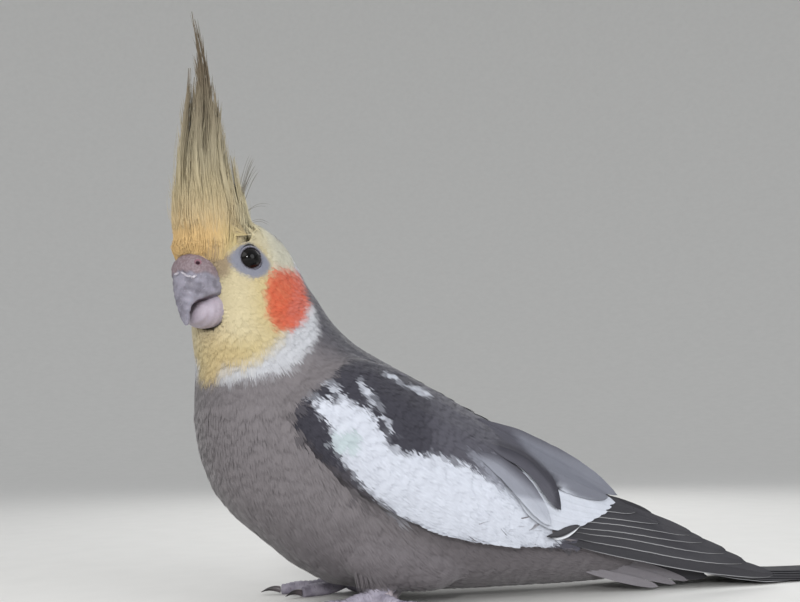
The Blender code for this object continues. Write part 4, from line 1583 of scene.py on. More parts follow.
def crest_colour(height, streak, behind=0.0):
    """Yellow at the base and paler behind, beige-grey above, with darker streaks."""
    heights = [h for h, _ in CREST_COLOURS]
    table = np.array([c for _, c in CREST_COLOURS])
    colour = np.stack([np.interp(height, heights, table[:, k]) for k in range(3)], axis=-1)
    pale = (behind * ease(140.0, 116.0, height))[..., None]
    colour = colour * (1 - pale) + np.asarray(CREST_PALE) * pale
    dark = streak * ease(114.0, 138.0, height)
    return colour * (1 - dark[..., None]) + np.asarray(CREST_DARK) * dark[..., None]


CREST_LOCKS = 15
CREST_LOW = 115.0
CREST_RISE = 68.5
CREST_TOP = 183.4
STRAND_CELLS = 64
CREST_ACROSS = np.array([-1.0, -0.6, 0.0, 0.6, 1.0])


def crest_path(place, lock, start, end, rows, stations, flare, sway, root, hold=0.0):
    """Line of a crest feather from its root on the skin, through its place in the crest's section.

    Higher up it nears its lock. The first points stay over the root for the height of hold.
    """
    where = np.linspace(0, 1, rows)
    z = start + (end - start) * where
    ring = np.stack([np.interp(z, stations[:, 1], stations[:, c]) for c in (0, 2, 3)], axis=-1)
    near = 0.6 * ease(118.0, 155.0, z)
    a = place[0] * (1 - near) + lock[0] * near
    b = place[1] * (1 - near) + lock[1] * near
    forward = ring[:, 0] + a * ring[:, 1] + (flare * place[0]) * where**3 + sway * np.sin(math.pi * where)
    left = b * ring[:, 2] + (flare * place[1]) * where**3 + 0.6 * sway * np.sin(2 * math.pi * where)
    path = from_head(np.c_[forward, left, z - EYE_HEIGHT])
    join = ease(hold, hold + 3.5 + 5.5 * ease(-0.2, 0.7, place[0]), z - start)[:, None]
    path[:, :2] = root[:2] * (1 - join) + path[:, :2] * join
    out = path - from_head(np.c_[ring[:, 0] - 2.0, 0 * z, z - EYE_HEIGHT])
    out[:, 2] = 0
    return path, unit_rows(out + 1e-6), z, where


def crest_end(a, b):
    """Height of a lock's tip: longest at the middle of the front, short behind."""
    front = min(1.0, max(0.0, 0.5 + 0.5 * a))
    tall = min(1.0, 0.24 + 0.6 * front**1.3 + 0.55 * max(0.0, 1 - math.hypot(a, b)) ** 1.3)
    return CREST_LOW + CREST_RISE * tall


def spiral_place(k, count, reach=1.0):
    """The k-th of a number of places spread evenly over a disc."""
    share = reach * math.sqrt((k + 0.5) / count)
    turn = k * math.pi * (3 - math.sqrt(5))
    return share * math.cos(turn), share * math.sin(turn)


def nearest_lock(locks, a, b):
    """The lock whose place in the crest's section is nearest."""
    return min(locks, key=lambda lock: (lock[0] - a) ** 2 + (lock[1] - b) ** 2)


def streak_of(lock, rng):
    """How dark a feather of that lock is."""
    return rng.uniform(0.0, 0.3) + (0.5 if lock[3] > 0.7 and rng.uniform() < 0.6 else 0.0)


def add_crest_feather(shape, barbs, k, count, locks, stations, tree, rng):
    """The k-th of the long narrow feathers, with its free barbs. The first few reach the top."""
    a, b = spiral_place(k, count, 0.94)
    lock = nearest_lock(locks, a, b)
    root, _ = crest_root(tree, stations, a, b, 0.8 + 0.18 * ease(0.5, -0.1, a))
    if root is None:
        return
    start = root[2] - rng.uniform(0.6, 1.4)
    end = CREST_LOW + (crest_end(a, b) - CREST_LOW) * lock[2] * rng.uniform(0.85, 1.0)
    end = CREST_TOP - 2.2 * k if k < 7 else end
    rows = max(8, int((end - start) / 2.6))
    flare, sway = rng.uniform(0.2, 2.2), rng.normal(0, 0.4)
    path, out, z, where = crest_path((a, b), lock, start, end, rows, stations, flare, sway, root)
    turn = rng.normal(0, 0.4)
    run = unit_rows(np.gradient(path, axis=0))
    side = unit_rows(np.cross(run, out))
    side = unit_rows(side * math.cos(turn) + out * math.sin(turn))
    up = np.cross(side, run)
    half = rng.uniform(0.8, 1.3) * np.interp(where, (0, 0.25, 0.7, 1), (1.45, 1.25, 0.66, 0.05))
    grid = path[:, None] + side[:, None] * (half[:, None] * CREST_ACROSS)[..., None]
    grid = grid + up[:, None] * (0.2 * (1 - CREST_ACROSS**2))[None, :, None]
    normals = np.repeat(up[:, None], len(CREST_ACROSS), axis=1)
    streak = streak_of(lock, rng)
    whole = np.ones((rows, len(CREST_ACROSS)))
    colours = crest_colour(grid[..., 2], streak * whole, float(ease(0.5, -0.8, a)))
    colours = colours * rng.uniform(0.94, 1.05)
    reach, spread = (where * BARB_REACH)[:, None] * whole, half[:, None] * CREST_ACROSS
    add_shell(shape, grid, normals, 0.15, colours, reach, spread, rng.uniform(0, 1), CREST_ACROSS)
    add_barbs(barbs, path, side, out, half, z, streak, rng)


def add_crest_strand(shape, at_foot, locks, stations, tree, rng):
    """A loose strand of the crest, from the skin at its foot or from anywhere in its outer part."""
    share = rng.uniform(0.95, 1.02) if at_foot else math.sqrt(rng.uniform(0.3, 1.0))
    angle = rng.uniform(-math.pi, math.pi)
    a, b = share * math.cos(angle), share * math.sin(angle)
    lock = nearest_lock(locks, a, b)
    root, _ = crest_root(tree, stations, a, b, 0.85 + 0.14 * ease(0.5, -0.1, a))
    if root is None:
        return
    start = root[2] - 0.5 + (0.0 if at_foot else rng.uniform(0.0, 24.0) * rng.uniform(0, 1))
    if start > root[2] + 2.0:
        root = crest_place(a, b, start, stations)
    end = CREST_LOW + (crest_end(a, b) - CREST_LOW) * lock[2] * rng.uniform(0.9, 1.0)
    most = rng.uniform(8.0, 20.0) if at_foot else rng.uniform(16.0, 46.0)
    end = min(max(end, start + 9.0), start + most)
    flare, sway = rng.uniform(0.0, 2.6), rng.normal(0, 0.5)
    path, out, z, _ = crest_path((a, b), lock, start, end, 9, stations, flare, sway, root)
    side = unit_rows(np.cross(unit_rows(path[-1] - path[0]), out[4]))
    colour = crest_colour(z, streak_of(lock, rng) * np.ones(9), float(ease(0.5, -0.8, a)))
    colour = colour * rng.uniform(0.93, 1.07)
    add_strand(shape, path, side, out[4], rng.uniform(0.1, 0.16), colour)


def make_crest(settings):
    """The crest: long feathers, free barbs, loose strands, its foot and a few wisps."""
    rng = np.random.default_rng(21)
    stations = smooth_rows(CREST_STATIONS, 6)
    feathers, barbs, strands = Shape(), Shape(), Shape()
    skin = bpy.data.objects["skin"].data
    tree = BVHTree.FromPolygons(to_design(mesh_points(skin)).tolist(), [p.vertices[:] for p in skin.polygons])
    # Each lock: its place in the section, its share of the full height, and a number for its streaks.
    locks = [
        (*spiral_place(k, CREST_LOCKS), rng.uniform(0.82, 1.0), rng.uniform(0, 1)) for k in range(CREST_LOCKS)
    ]
    for k in range(settings.crest_feathers):
        add_crest_feather(feathers, barbs, k, settings.crest_feathers, locks, stations, tree, rng)
    for k in range(settings.crest_strands):
        add_crest_strand(strands, k % 4 == 0, locks, stations, tree, rng)
    add_core(feathers, stations)
    add_fringe(strands, settings.crest_fringe, stations, tree, rng)
    for wisp in CREST_WISPS:
        add_wisp(barbs, *wisp, rng)
    vane = make_material("crest_feather", vane_look, Specular_IOR_Level=0.2)
    finish_shape("crest_feathers", feathers, vane, ["crest"])
    barb = make_material("crest_barb", barb_look, Specular_IOR_Level=0.2)
    finish_shape("crest_barbs", barbs, barb, flat=True)
    finish_shape("crest_strands", strands, barb, flat=True)


def crest_place(a, b, height, stations):
    """Design point at a place of the crest's section at a height."""
    ring = [np.interp(height, stations[:, 1], stations[:, c]) for c in (0, 2, 3)]
    return from_head(np.array([[ring[0] + a * ring[1], b * ring[2], height - EYE_HEIGHT]]))[0]


def crest_root(tree, stations, a, b, share):
    """Place on the skin under one of the crest's places, and the skin's direction there."""
    foot = [np.interp(114.0, stations[:, 1], stations[:, c]) for c in (0, 2, 3)]
    above = from_head(np.array([[foot[0] + share * a * foot[1], share * b * foot[2], 40.0]]))[0]
    root, normal = tree.ray_cast(Vector(above), Vector((0, 0, -1)))[:2]
    return (None, None) if root is None else (np.array(root), np.array(normal))


def brow_root(tree, stations, angle, height):
    """Place on the skin round the foot of the crest, found level from outside."""
    away = np.array([stations[0, 0] + 40 * math.cos(angle), 40 * math.sin(angle), height - EYE_HEIGHT])
    centre = np.array([stations[0, 0], 0, height - EYE_HEIGHT])
    start, goal = from_head(np.stack([away, centre]))
    root, normal = tree.ray_cast(Vector(start), Vector(goal - start).normalized())[:2]
    return (None, None) if root is None else (np.array(root), np.array(normal))


def clear_of_skin(path, tree, gaps):
    """The path with the points in or near the skin moved out to a small gap over it."""
    cleared = []
    for point, gap in zip(path, gaps):
        place, normal = tree.find_nearest(Vector(point))[:2]
        if (Vector(point) - place).dot(normal) < gap:
            point = np.array(place + normal * gap)
        cleared.append(point)
    return np.array(cleared)


def add_core(shape, stations):
    """The close inner part of the crest, seen only between its feathers."""
    heights = np.linspace(104.0, 160.0, 20)
    around = np.linspace(0, 2 * math.pi, 29)
    ring = np.stack([np.interp(heights, stations[:, 1], stations[:, c]) for c in (0, 2, 3)], axis=-1)
    thin = (0.84 * ease(164.0, 128.0, heights) + 0.02)[:, None]
    thin = thin + 0.15 * ease(117.0, 112.0, heights)[:, None] * ease(0.25, -0.1, np.cos(around))
    forward = ring[:, :1] + np.cos(around) * ring[:, 1:2] * thin
    left = np.sin(around) * ring[:, 2:3] * thin
    above_eye = (heights[:, None] - EYE_HEIGHT) + 0 * left
    grid = from_head(np.stack([forward, left, above_eye], axis=-1).reshape(-1, 3))
    behind = ease(0.5, -0.8, np.tile(np.cos(around), len(heights)))
    colours = crest_colour(grid[:, 2], np.full(len(grid), 0.2), behind) * 0.95
    outward = from_head(np.c_[np.cos(around), np.sin(around), 0 * around]) - from_head(np.zeros((1, 3)))
    form = (len(heights), len(around), 3)
    reach = np.tile((heights - heights[0])[:, None], (1, len(around)))
    add_shell(shape, grid.reshape(form), np.broadcast_to(outward, form), 0.3, colours.reshape(form), reach,
              0 * left, 0.5, np.linspace(-0.9, 0.9, len(around)))


def add_fringe(shape, count, stations, tree, rng):
    """Strands that rise from the skin round the foot of the crest and run up over it.

    Every second one starts on the forehead or beside it, and every fourth one at the rear.
    """
    for k in range(count):
        brow = k % 2 == 1
        angle = rng.uniform(-math.pi, math.pi)
        a, b = math.cos(angle), math.sin(angle)
        root, normal = crest_root(tree, stations, a, b, rng.uniform(0.72, 1.3))
        if brow:
            angle = rng.uniform(-1.9, 1.9)
            height = rng.uniform(102.6, 109.0) + 5.0 * ease(0.7, 1.9, abs(angle))
            root, normal = brow_root(tree, stations, angle, height)
        if k % 4 == 2:
            angle = math.pi + rng.uniform(-1.3, 1.3)
            a, b = math.cos(angle), math.sin(angle)
            root, normal = crest_root(tree, stations, a, b, rng.uniform(0.9, 1.6))
        if root is None or not 98 < root[2] < 118:
            continue
        if eye_ring(in_head(root[None]), 0.6)[0] > 0.05:
            continue
        if brow:
            a, b = unit_rows(in_head(root[None]) * [1, 1, 0] - [stations[0, 0], 0, 0])[0, :2]
        low = root[2] - 0.4
        high = low + rng.uniform(9, 17) + rng.uniform(3, 9) * brow
        sway = rng.normal(0, 0.3)
        path, out, z, where = crest_path((a, b), (a, b), low, high, 8, stations, 0.0, sway, root, 2.0 * brow)
        join = ease(0.0, 0.75, where)[:, None]
        path = path + out * (rng.uniform(-0.3, 0.5) * where)[:, None]
        path = clear_of_skin(path, tree, ease(-0.1, 0.3, where) * rng.uniform(0.5, 1.0))
        up = unit_rows(np.array([out[4] + normal]))[0]
        side = unit_rows(np.cross(unit_rows(path[-1] - path[0]), up))
        first = plumage_colour(root[None] + [0, 0, 1.5]) * FRINGE_TONE / PLUMAGE_TONE
        colour = crest_colour(z, np.zeros(8), float(ease(0.5, -0.8, a)))
        colour = first * (1 - join) + colour * join
        add_strand(shape, path, side, up, rng.uniform(0.13, 0.22), colour * rng.uniform(0.94, 1.05))


# Loose strands behind the crest: forward, left, height at the root, height at the tip, and
# how far back the tip stands.
CREST_WISPS = [
    (3, 7.8, 122, 125.5, 9.0), (2, 7.0, 118.6, 119.6, 8.0), (5, 7.8, 126, 137.0, 4.4),
    (5.4, 7.4, 127, 139.0, 4.0), (4.6, 7.9, 125.4, 135.4, 4.8), (5.2, 7.6, 126.4, 138.4, 3.4),
    (4.8, 7.2, 126, 136.4, 5.2), (5.8, 7.4, 128, 140, 3.2),
]
WISP_GREY = linear(120, 112, 98)


def barb_look(graph):
    """Loose barb, darker at its root."""
    along = graph.attribute("along")
    tint = graph.attribute("tint", "Color")
    mottle = graph.noise(300.0, 2.0)
    return {
        "Base Color": graph.scaled(tint.socket, (0.88 + 0.14 * along) * (0.9 + 0.2 * mottle)),
        "Roughness": 0.65 + 0.15 * mottle,
        "Normal": graph.bump(mottle, 0.1, 0.0002),
    }


def add_strand(shape, path, side, up, width, colour):
    """One thin free barb along a path, with a patch of its own in the map."""
    where = np.linspace(0, 1, len(path))
    points = blade_points(path, side, up, width, width * 0.6, 1 - 0.7 * where)
    faces = blade_faces(len(path) - 1)
    index = len(shape.points)
    cell = np.array([index % STRAND_CELLS, index // STRAND_CELLS % STRAND_CELLS])
    along = np.r_[np.repeat(where[:-1], 3), 1.0]
    maps = [
        (cell + np.array([0.2 + 0.6 * (i % 3) / 3, 0.1 + 0.8 * along[i]])) / STRAND_CELLS
        for face in faces for i in face
    ]
    tint = np.broadcast_to(np.asarray(colour, float), (len(path), 3))
    tint = np.vstack([np.repeat(tint[:-1], 3, axis=0), tint[-1:]])
    shape.add(points, faces, maps, along=along, tint=tint)


def add_barbs(shape, path, side, out, half, z, streak, rng):
    """Free barbs that leave both edges of a crest feather and follow it upwards."""
    rows = len(path)
    for _ in range(int(rows * 1.7)):
        i = rng.integers(1, rows - 2)
        sign = rng.choice([-1, 1])
        reach = min(rows - 1 - i, rng.uniform(1.6, 3.6))
        where = np.linspace(0, 1, 4)
        steps = i + reach * where
        follow = np.stack([np.interp(steps, np.arange(rows), path[:, c]) for c in range(3)], axis=-1)
        drift = (half[i] * 0.7 + rng.uniform(0.2, 1.5) * where) * sign
        line = follow + side[i] * drift[:, None] + out[i] * (0.5 * rng.uniform(-0.3, 1.2) * where)[:, None]
        colour = crest_colour(np.array([z[i]]), np.array([streak]))[0] * rng.uniform(0.88, 1.12)
        add_strand(shape, line, side[i], out[i], 0.1, colour)


def add_wisp(shape, forward, left, low, high, reach, rng):
    """Two thin strands side by side that leave the crest backwards."""
    for _ in range(2):
        where = np.linspace(0, 1, 7)
        jitter = rng.normal(0, 0.5, 3)
        back = forward + jitter[0] - reach * where
        rise = low + jitter[1] + (high - low) * where + 1.2 * np.sin(math.pi * where)
        line = from_head(np.c_[back, left + jitter[2] + 1.5 * where, rise - EYE_HEIGHT])
        run = unit_rows(np.gradient(line, axis=0))[3]
        side = unit_rows(np.cross(run, [0, 0, 1.0]))
        add_strand(shape, line, side, np.cross(side, run), 0.16, WISP_GREY)


# Eyes

EYE_RADIUS = 4.1
GAZE = (0.4, 1.0, -0.05)
EYE_OPENING = 51.0  # degrees from the gaze to the rim of the lids
CORNEA_RISE = 0.22
# Section of the lids: degrees from their rim and height over the eyeball.
LID_SECTION = [
    (3, -0.6), (0, 0.02), (-0.8, 0.14), (0, 0.3), (2.5, 0.4), (7, 0.42), (12, 0.36), (18, 0.15), (26, -0.25),
    (31, -1.2), (20, -1.4), (8, -1.2),
]


def eye_frame(sign):
    """Middle of an eye and its gaze, forward and upward directions in the design frame."""
    middle = from_head((EYE_MIDDLE[0], sign * EYE_MIDDLE[1], EYE_MIDDLE[2]))[0]
    origin = from_head((0, 0, 0))[0]
    gaze = unit_rows(from_head((GAZE[0], sign * GAZE[1], GAZE[2]))[0] - origin)
    ahead = from_head((1, 0, 0))[0] - origin
    ahead = unit_rows(ahead - gaze * ahead.dot(gaze))
    up = np.cross(gaze, ahead) * sign
    return middle, gaze, ahead, up


def eye_look(graph):
    """Nearly black iris round a black pupil under a clear wet surface."""
    polar = graph.attribute("polar")
    fibres = graph.noise(1500.0, 2.0)
    iris = polar.eased(30.0, 33.0) * (1.0 - polar.eased(46.0, 54.0))
    colour = graph.mix((0.0015, 0.0012, 0.0012), linear(20, 14, 12), iris * (0.2 + 0.5 * fibres))
    return {"Base Color": colour, "Roughness": 0.05 + 0.03 * fibres}


def lid_look(graph):
    """Lilac-grey bare skin with a dark wet rim and fine wrinkles."""
    polar = graph.attribute("polar")
    wrinkles = graph.noise(2400.0, 3.0)
    colour = graph.mix(linear(50, 45, 52), linear(124, 124, 136), polar.eased(EYE_OPENING, EYE_OPENING + 4.0))
    colour = graph.mix(colour, linear(150, 150, 162), wrinkles.eased(0.45, 0.75) * 0.6)
    return {
        "Base Color": colour,
        "Roughness": 0.42 + 0.25 * wrinkles,
        "Normal": graph.bump(wrinkles, 0.6, 0.0002),
    }


def make_eyeball(side, sign, material):
    """An eyeball whose front bulges a little."""
    middle, gaze, ahead, up = eye_frame(sign)
    rings, around = 30, 48
    points, polar = [], []
    for i in range(1, rings + 1):
        angle = math.pi * (i / (rings + 1)) ** 1.15
        radius = EYE_RADIUS + CORNEA_RISE * (1 - float(ease(0.0, 0.75, angle)))
        for k in range(around):
            a = 2 * math.pi * k / around
            spoke = ahead * math.cos(a) + up * math.sin(a)
            points.append(middle + radius * (gaze * math.cos(angle) + spoke * math.sin(angle)))
            polar.append(math.degrees(angle))
    points += [middle + gaze * (EYE_RADIUS + CORNEA_RISE), middle - gaze * EYE_RADIUS]
    polar += [0.0, 180.0]
    ball = Shape()
    ball.add(points, tube_faces(rings, around), polar=polar)
    finish_shape(f"eyeball_{side}", ball, material, [f"eye_{side}"], outward=True)


def make_eyelids(side, sign, material):
    """Both lids as one folded ring with an almond-shaped opening."""
    middle, gaze, ahead, up = eye_frame(sign)
    around, count = 96, len(LID_SECTION)
    points, polar, faces = [], [], []
    for k in range(around):
        a = 2 * math.pi * k / around
        spoke = ahead * math.cos(a) + up * math.sin(a)
        almond = 1.6 * math.cos(2 * a) - 1.2 * max(0.0, math.sin(a)) ** 2
        for angle, height in LID_SECTION:
            fold = 0.05 * math.sin(19 * a + angle) * (height > 0.1) + 0.04 * math.sin(31 * a) * (height > 0.1)
            angle = math.radians(EYE_OPENING + angle + almond)
            radius = EYE_RADIUS + height + fold
            points.append(middle + radius * (gaze * math.cos(angle) + spoke * math.sin(angle)))
            polar.append(math.degrees(angle) - almond)
        n = (k + 1) % around
        for i in range(count):
            j = (i + 1) % count
            faces.append((k * count + i, n * count + i, n * count + j, k * count + j))
    ring = Shape()
    ring.add(points, faces, polar=polar)
    finish_shape(f"eyelids_{side}", ring, material, outward=True)


def make_eyes():
    """Both eyeballs and the bare lids round them."""
    wet = make_material("eye_surface", eye_look, Specular_IOR_Level=0.22)
    lid = make_material("eyelid_skin", lid_look, Specular_IOR_Level=0.35)
    for side, sign in (("left", 1), ("right", -1)):
        make_eyeball(side, sign, wet)
        make_eyelids(side, sign, lid)


# Bill, in the head's frame: top point and lower point as (forward, above the eye), and
# half-width.

UPPER_BILL = [
    ((13.0, -0.5), (8.0, -9.5), 5.4), ((20.0, 0.2), (10.5, -11.0), 6.6), ((23.0, -2.6), (12.5, -12.2), 6.6),
    ((23.5, -8.0), (15.8, -13.4), 5.4), ((23.5, -13.0), (19.8, -15.2), 3.3),
    ((22.4, -18.0), (20.7, -17.6), 1.9),
]
UPPER_BILL_TIP = (20.5, -21.4)
LOWER_BILL = [
    ((6.0, -10.2), (5.5, -18.6), 4.6), ((11.0, -9.9), (9.8, -20.8), 6.1), ((14.6, -11.6), (14.0, -21.6), 5.9),
    ((17.6, -13.9), (17.2, -20.6), 4.6),
]
LOWER_BILL_TIP = (19.0, -18.0)
BILL_SQUARENESS = 2.3
NOSTRIL = (20.9, 4.4, -3.3)
NOSTRIL_RADIUS = 0.95
CERE_SWELL = 0.32


def bill_grid(stations, tip, steps, around, boxed=BILL_SQUARENESS):
    """Rings of a bill in the head's frame, closing towards its tip, boxier below at the root."""
    rows = smooth_rows([[*top, *low, width] for top, low, width in stations], steps)
    rings = []
    for i, (tf, tu, lf, lu, width) in enumerate(rows):
        top, low = np.array([tf, 0, tu]), np.array([lf, 0, lu])
        below = boxed + (BILL_SQUARENESS - boxed) * float(ease(0.3, 0.9, i / len(rows)))
        rings.append(bill_ring((top + low) / 2, (top - low) / 2, width, around, below))
    last = rows[-1]
    top, low = np.array([last[0], 0, last[1]]), np.array([last[2], 0, last[3]])
    end = np.array([tip[0], 0, tip[1]])
    for t in (0.25, 0.5, 0.72, 0.88, 0.96):
        close = math.sqrt(1 - t**1.6)
        middle = (top + low) / 2 * (1 - t) + end * t
        rings.append(bill_ring(middle, (top - low) / 2 * close, last[4] * close, around))
    return np.array(rings), end


def bill_ring(middle, up, width, around, below=BILL_SQUARENESS):
    """One ring of a bill, from its top round, boxier where the squareness is higher."""
    ring = []
    for k in range(around):
        a = 2 * math.pi * k / around
        c, s = math.cos(a), math.sin(a)
        power = 2.0 / (BILL_SQUARENESS if c > 0 else below)
        ring.append(
            middle + up * math.copysign(abs(c) ** power, c)
            + np.array([0, width, 0]) * math.copysign(abs(s) ** power, s)
        )
    return ring


def grid_normals(grid):
    """Outward directions of a tube's grid of points."""
    along = np.gradient(grid, axis=0)
    around = np.roll(grid, -1, axis=1) - np.roll(grid, 1, axis=1)
    normals = unit_rows(np.cross(around, along))
    centre = grid.mean(axis=1, keepdims=True)
    flip = np.sign((normals * (grid - centre)).sum(-1).mean())
    return normals * (flip if flip else 1.0)


def cere_share(points):
    """1 on the fleshy cere at the top of the bill, 0 on the horn."""
    forward, left, up = points[..., 0], np.abs(points[..., 1]), points[..., 2]
    border = -5.6 - 0.55 * ease(1.5, 4.5, left) + 0.35 * np.sin(left * 2.2)
    border = np.where(forward < 19.0, border - 0.25 * (19.0 - forward), border)
    return ease(-0.5, 0.5, up - border)


def bill_look(graph):
    """Lilac-grey horn with worn streaks, a pink fleshy cere, nostrils and mouth line darkened as painted
    shade, and a paler lower bill that is partly painted light.
    """
    cere, pit, dark = graph.attribute("cere"), graph.attribute("pit"), graph.attribute("dark")
    flow = graph.noise(300.0, 3.0)
    fine = graph.noise(1500.0, 3.0)
    scurf = graph.noise(3200.0, 2.0)
    horn = graph.mix(linear(106, 103, 114), linear(142, 139, 152), flow.eased(0.3, 0.7))
    horn = graph.mix(horn, linear(166, 163, 174), fine.eased(0.55, 0.8) * 0.5)
    # pale: paler horn of the lower bill, partly its own colour and partly painted light that makes up for the
    # upper bill's shadow.
    horn = graph.mix(horn, linear(196, 184, 198), graph.attribute("pale"))
    # dark: painted shade along the mouth line, on both halves of the bill.
    horn = graph.mix(horn, linear(74, 62, 70), dark)
    flesh = graph.mix(linear(118, 102, 106), linear(138, 124, 130), fine.eased(0.35, 0.7))
    flesh = graph.mix(flesh, linear(106, 84, 84), scurf.eased(0.55, 0.75) * 0.4)
    colour = graph.mix(horn, flesh, cere)
    colour = graph.mix(colour, linear(150, 110, 122), pit.eased(0.02, 0.2) * (1.0 - pit.eased(0.25, 0.5)))
    # Painted shade: the nostril pits darkened.
    colour = graph.mix(colour, linear(58, 26, 40), pit.eased(0.3, 0.6))
    return {
        "Base Color": colour,
        "Roughness": 0.36 + 0.22 * cere + 0.16 * fine,
        "Normal": graph.bump(flow * 0.4 + fine * 0.4 + scurf * 0.25 * cere, 0.45, 0.0003),
    }


def from_top(around):
    """For each place round a ring, 0 at its top and 1 at its bottom."""
    return np.abs((np.arange(around) / around + 0.5) % 1 - 0.5) * 2


def make_bill():
    """Upper bill with cere and nostrils, lower bill and flakes."""
    material = make_material("bill_horn", bill_look, Specular_IOR_Level=0.45, Subsurface_Weight=0.08,
                             Subsurface_Radius=(0.002, 0.001, 0.001), Subsurface_Scale=0.5)
    grid, tip = bill_grid(UPPER_BILL, UPPER_BILL_TIP, 22, 144, 5.0)
    normals = grid_normals(grid)
    cere = cere_share(grid)
    nostril = np.linalg.norm(one_side(grid, 1) - NOSTRIL, axis=-1) / NOSTRIL_RADIUS
    # The nostrils are pits pushed into the cere, and the material paints them dark as shade in them.
    pit = 1 - ease(0.55, 1.3, nostril)
    rim = np.exp(-((nostril - 1.35) / 0.35) ** 2)
    push = CERE_SWELL * cere + 0.28 * rim * cere - 1.5 * pit
    push += 0.07 * np.sin(grid[..., 2] * 2.6 + np.abs(grid[..., 1])) * (1 - cere)
    grid = grid + normals * push[..., None]
    # The upper bill's lower edge, from mid-length to the tip, is darkened: painted shade of the mouth line.
    low, far = ease(0.62, 0.72, from_top(grid.shape[1])), ease(0.35, 0.6, np.linspace(0, 1, len(grid)))
    dark = low[None, :] * far[:, None]
    add_bill_piece("bill_upper_horn", grid, tip, material, "bill_upper", cere, pit, dark)

    grid, tip = bill_grid(LOWER_BILL, LOWER_BILL_TIP, 14, 64)
    grid = grid + grid_normals(grid) * (0.05 * np.sin(grid[..., 0] * 3.0))[..., None]
    blank = np.zeros(grid.shape[:2])
    # The top of the lower bill, under the upper bill's edge, is darkened: painted shade of the mouth line.
    dark = blank + (1 - ease(0.18, 0.3, from_top(grid.shape[1])))[None, :] * 0.7
    # The lower bill is paler: partly its own colour, partly painted light against the shadow of the upper
    # bill.
    add_bill_piece("bill_lower_horn", grid, tip, material, "bill_lower", blank + 0.25, blank, dark, 0.6)
    make_flakes()


def add_bill_piece(name, grid, tip, material, node, cere, pit, dark, pale=0.0):
    """One half of the bill as a closed piece that stands for its CAD node."""
    rings, around = grid.shape[:2]
    base = grid[0].mean(axis=0)
    points = from_head(np.vstack([grid.reshape(-1, 3), base, tip]))
    shape = Shape()
    shape.add(
        points, tube_faces(rings, around),
        cere=np.r_[cere.ravel(), cere[0].mean(), cere[-1].mean()],
        pit=np.r_[pit.ravel(), 0, 0],
        dark=np.r_[dark.ravel(), dark[0].mean(), dark[-1].mean()],
        pale=np.full(len(points), pale),
    )
    finish_shape(name, shape, material, [node], outward=True)


# Loose flakes of horn under the cere: forward, left, above the eye, half-length, turn.
FLAKES = [
    (23.7, 1.6, -6.4, 1.1, -0.5), (23.3, 3.2, -7.3, 1.2, -0.2), (22.6, 4.7, -7.5, 0.9, 0.5),
    (24.0, -1.0, -6.2, 0.9, 0.3),
]


def flake_look(graph):
    """Dry pale horn."""
    fine = graph.noise(2500.0, 3.0)
    colour = graph.mix(linear(150, 144, 154), linear(198, 194, 202), fine.eased(0.3, 0.65))
    return {"Base Color": colour, "Roughness": 0.6 + 0.2 * fine, "Normal": graph.bump(fine, 0.4, 0.0002)}


def plate_faces(rows, columns):
    """Faces of a thin plate: the grid of its front, the grid of its back and its rim."""
    total = rows * columns
    faces = []
    for i in range(rows - 1):
        for k in range(columns - 1):
            a = i * columns + k
            b = a + columns
            faces += [(a, a + 1, b + 1, b), (total + b, total + b + 1, total + a + 1, total + a)]
    rim = [*range(columns)] + [i * columns + columns - 1 for i in range(1, rows)]
    rim += [(rows - 1) * columns + k for k in reversed(range(columns - 1))]
    rim += [i * columns for i in reversed(range(1, rows - 1))]
    for a, b in zip(rim, rim[1:] + rim[:1]):
        faces.append((b, a, a + total, b + total))
    return faces


def make_flakes():
    """Thin curled flakes of horn that lie on the bill under the cere."""
    material = make_material("flaking_horn", flake_look, Specular_IOR_Level=0.3)
    shape = Shape()
    rng = np.random.default_rng(5)
    rows, columns = 7, 4
    for forward, left, up, half, turn in FLAKES:
        outward = unit_rows(np.array([1.0, left * 0.16, 0.1]))
        side = unit_rows(np.cross([0, 0, 1.0], outward))
        rise = np.cross(outward, side)
        length_way = side * math.cos(turn) + rise * math.sin(turn)
        width_way = np.cross(outward, length_way)
        points = []
        for layer in (0.12, -0.15):
            for i in range(rows):
                t = 2 * i / (rows - 1) - 1
                width = 0.24 * math.sqrt(max(0.0, 1 - t * t)) + 0.04
                middle = np.array([forward, left, up]) + length_way * half * t
                for k in range(columns):
                    c = 2 * k / (columns - 1) - 1
                    lift = layer + 0.14 * t * t + rng.normal(0, 0.03) + 0.12 * c
                    points.append(middle + width_way * width * c + outward * lift)
        shape.add(from_head(np.array(points)), plate_faces(rows, columns))
    finish_shape("bill_flakes", shape, material, outward=True)


# Feet

TOE_JOINT = (20.5, 0.5, 4.4)
SHANK_TOP = (18.5, 9.0, 10.5)
SHANK_RADII = (3.0, 3.1)
TOES = [
    ("front_inner", -16.0, 15.5, 5.0), ("front_outer", 12.0, 21.0, 6.0),
    ("back_outer", 148.0, 17.0, 5.5), ("back_inner", -158.0, 9.5, 4.5),
]
TOE_RADII = (2.5, 1.75)
TOE_PAD = 0.22
TOE_FLAT_DEPTH = 0.4
SCUTE_LENGTH = 1.55
CLAW_RADIUS = 1.15
CLAW_DROP = 0.6
CLAW_GAP = 0.3


def toe_direction(angle, sign):
    """Level direction of a toe, by its angle from straight ahead towards the bird's outside."""
    a = math.radians(angle)
    return np.array([sign * math.sin(a), -math.cos(a), 0.0])


def toe_path(angle, length, sign, steps):
    """Middle line of a toe from the joint to its end, with its radii."""
    start = np.array(TOE_JOINT) * (sign, 1, 1)
    drop = start[2] - (TOE_RADII[0] - TOE_FLAT_DEPTH)
    where = np.linspace(0, 1, steps + 1)
    radii = TOE_RADII[0] + (TOE_RADII[1] - TOE_RADII[0]) * where + TOE_PAD * np.sin(2 * math.pi * where) ** 2
    points = start + toe_direction(angle, sign) * (length * where)[:, None]
    points[:, 2] = radii - TOE_FLAT_DEPTH + drop * (1 - where) ** 3
    return points, radii


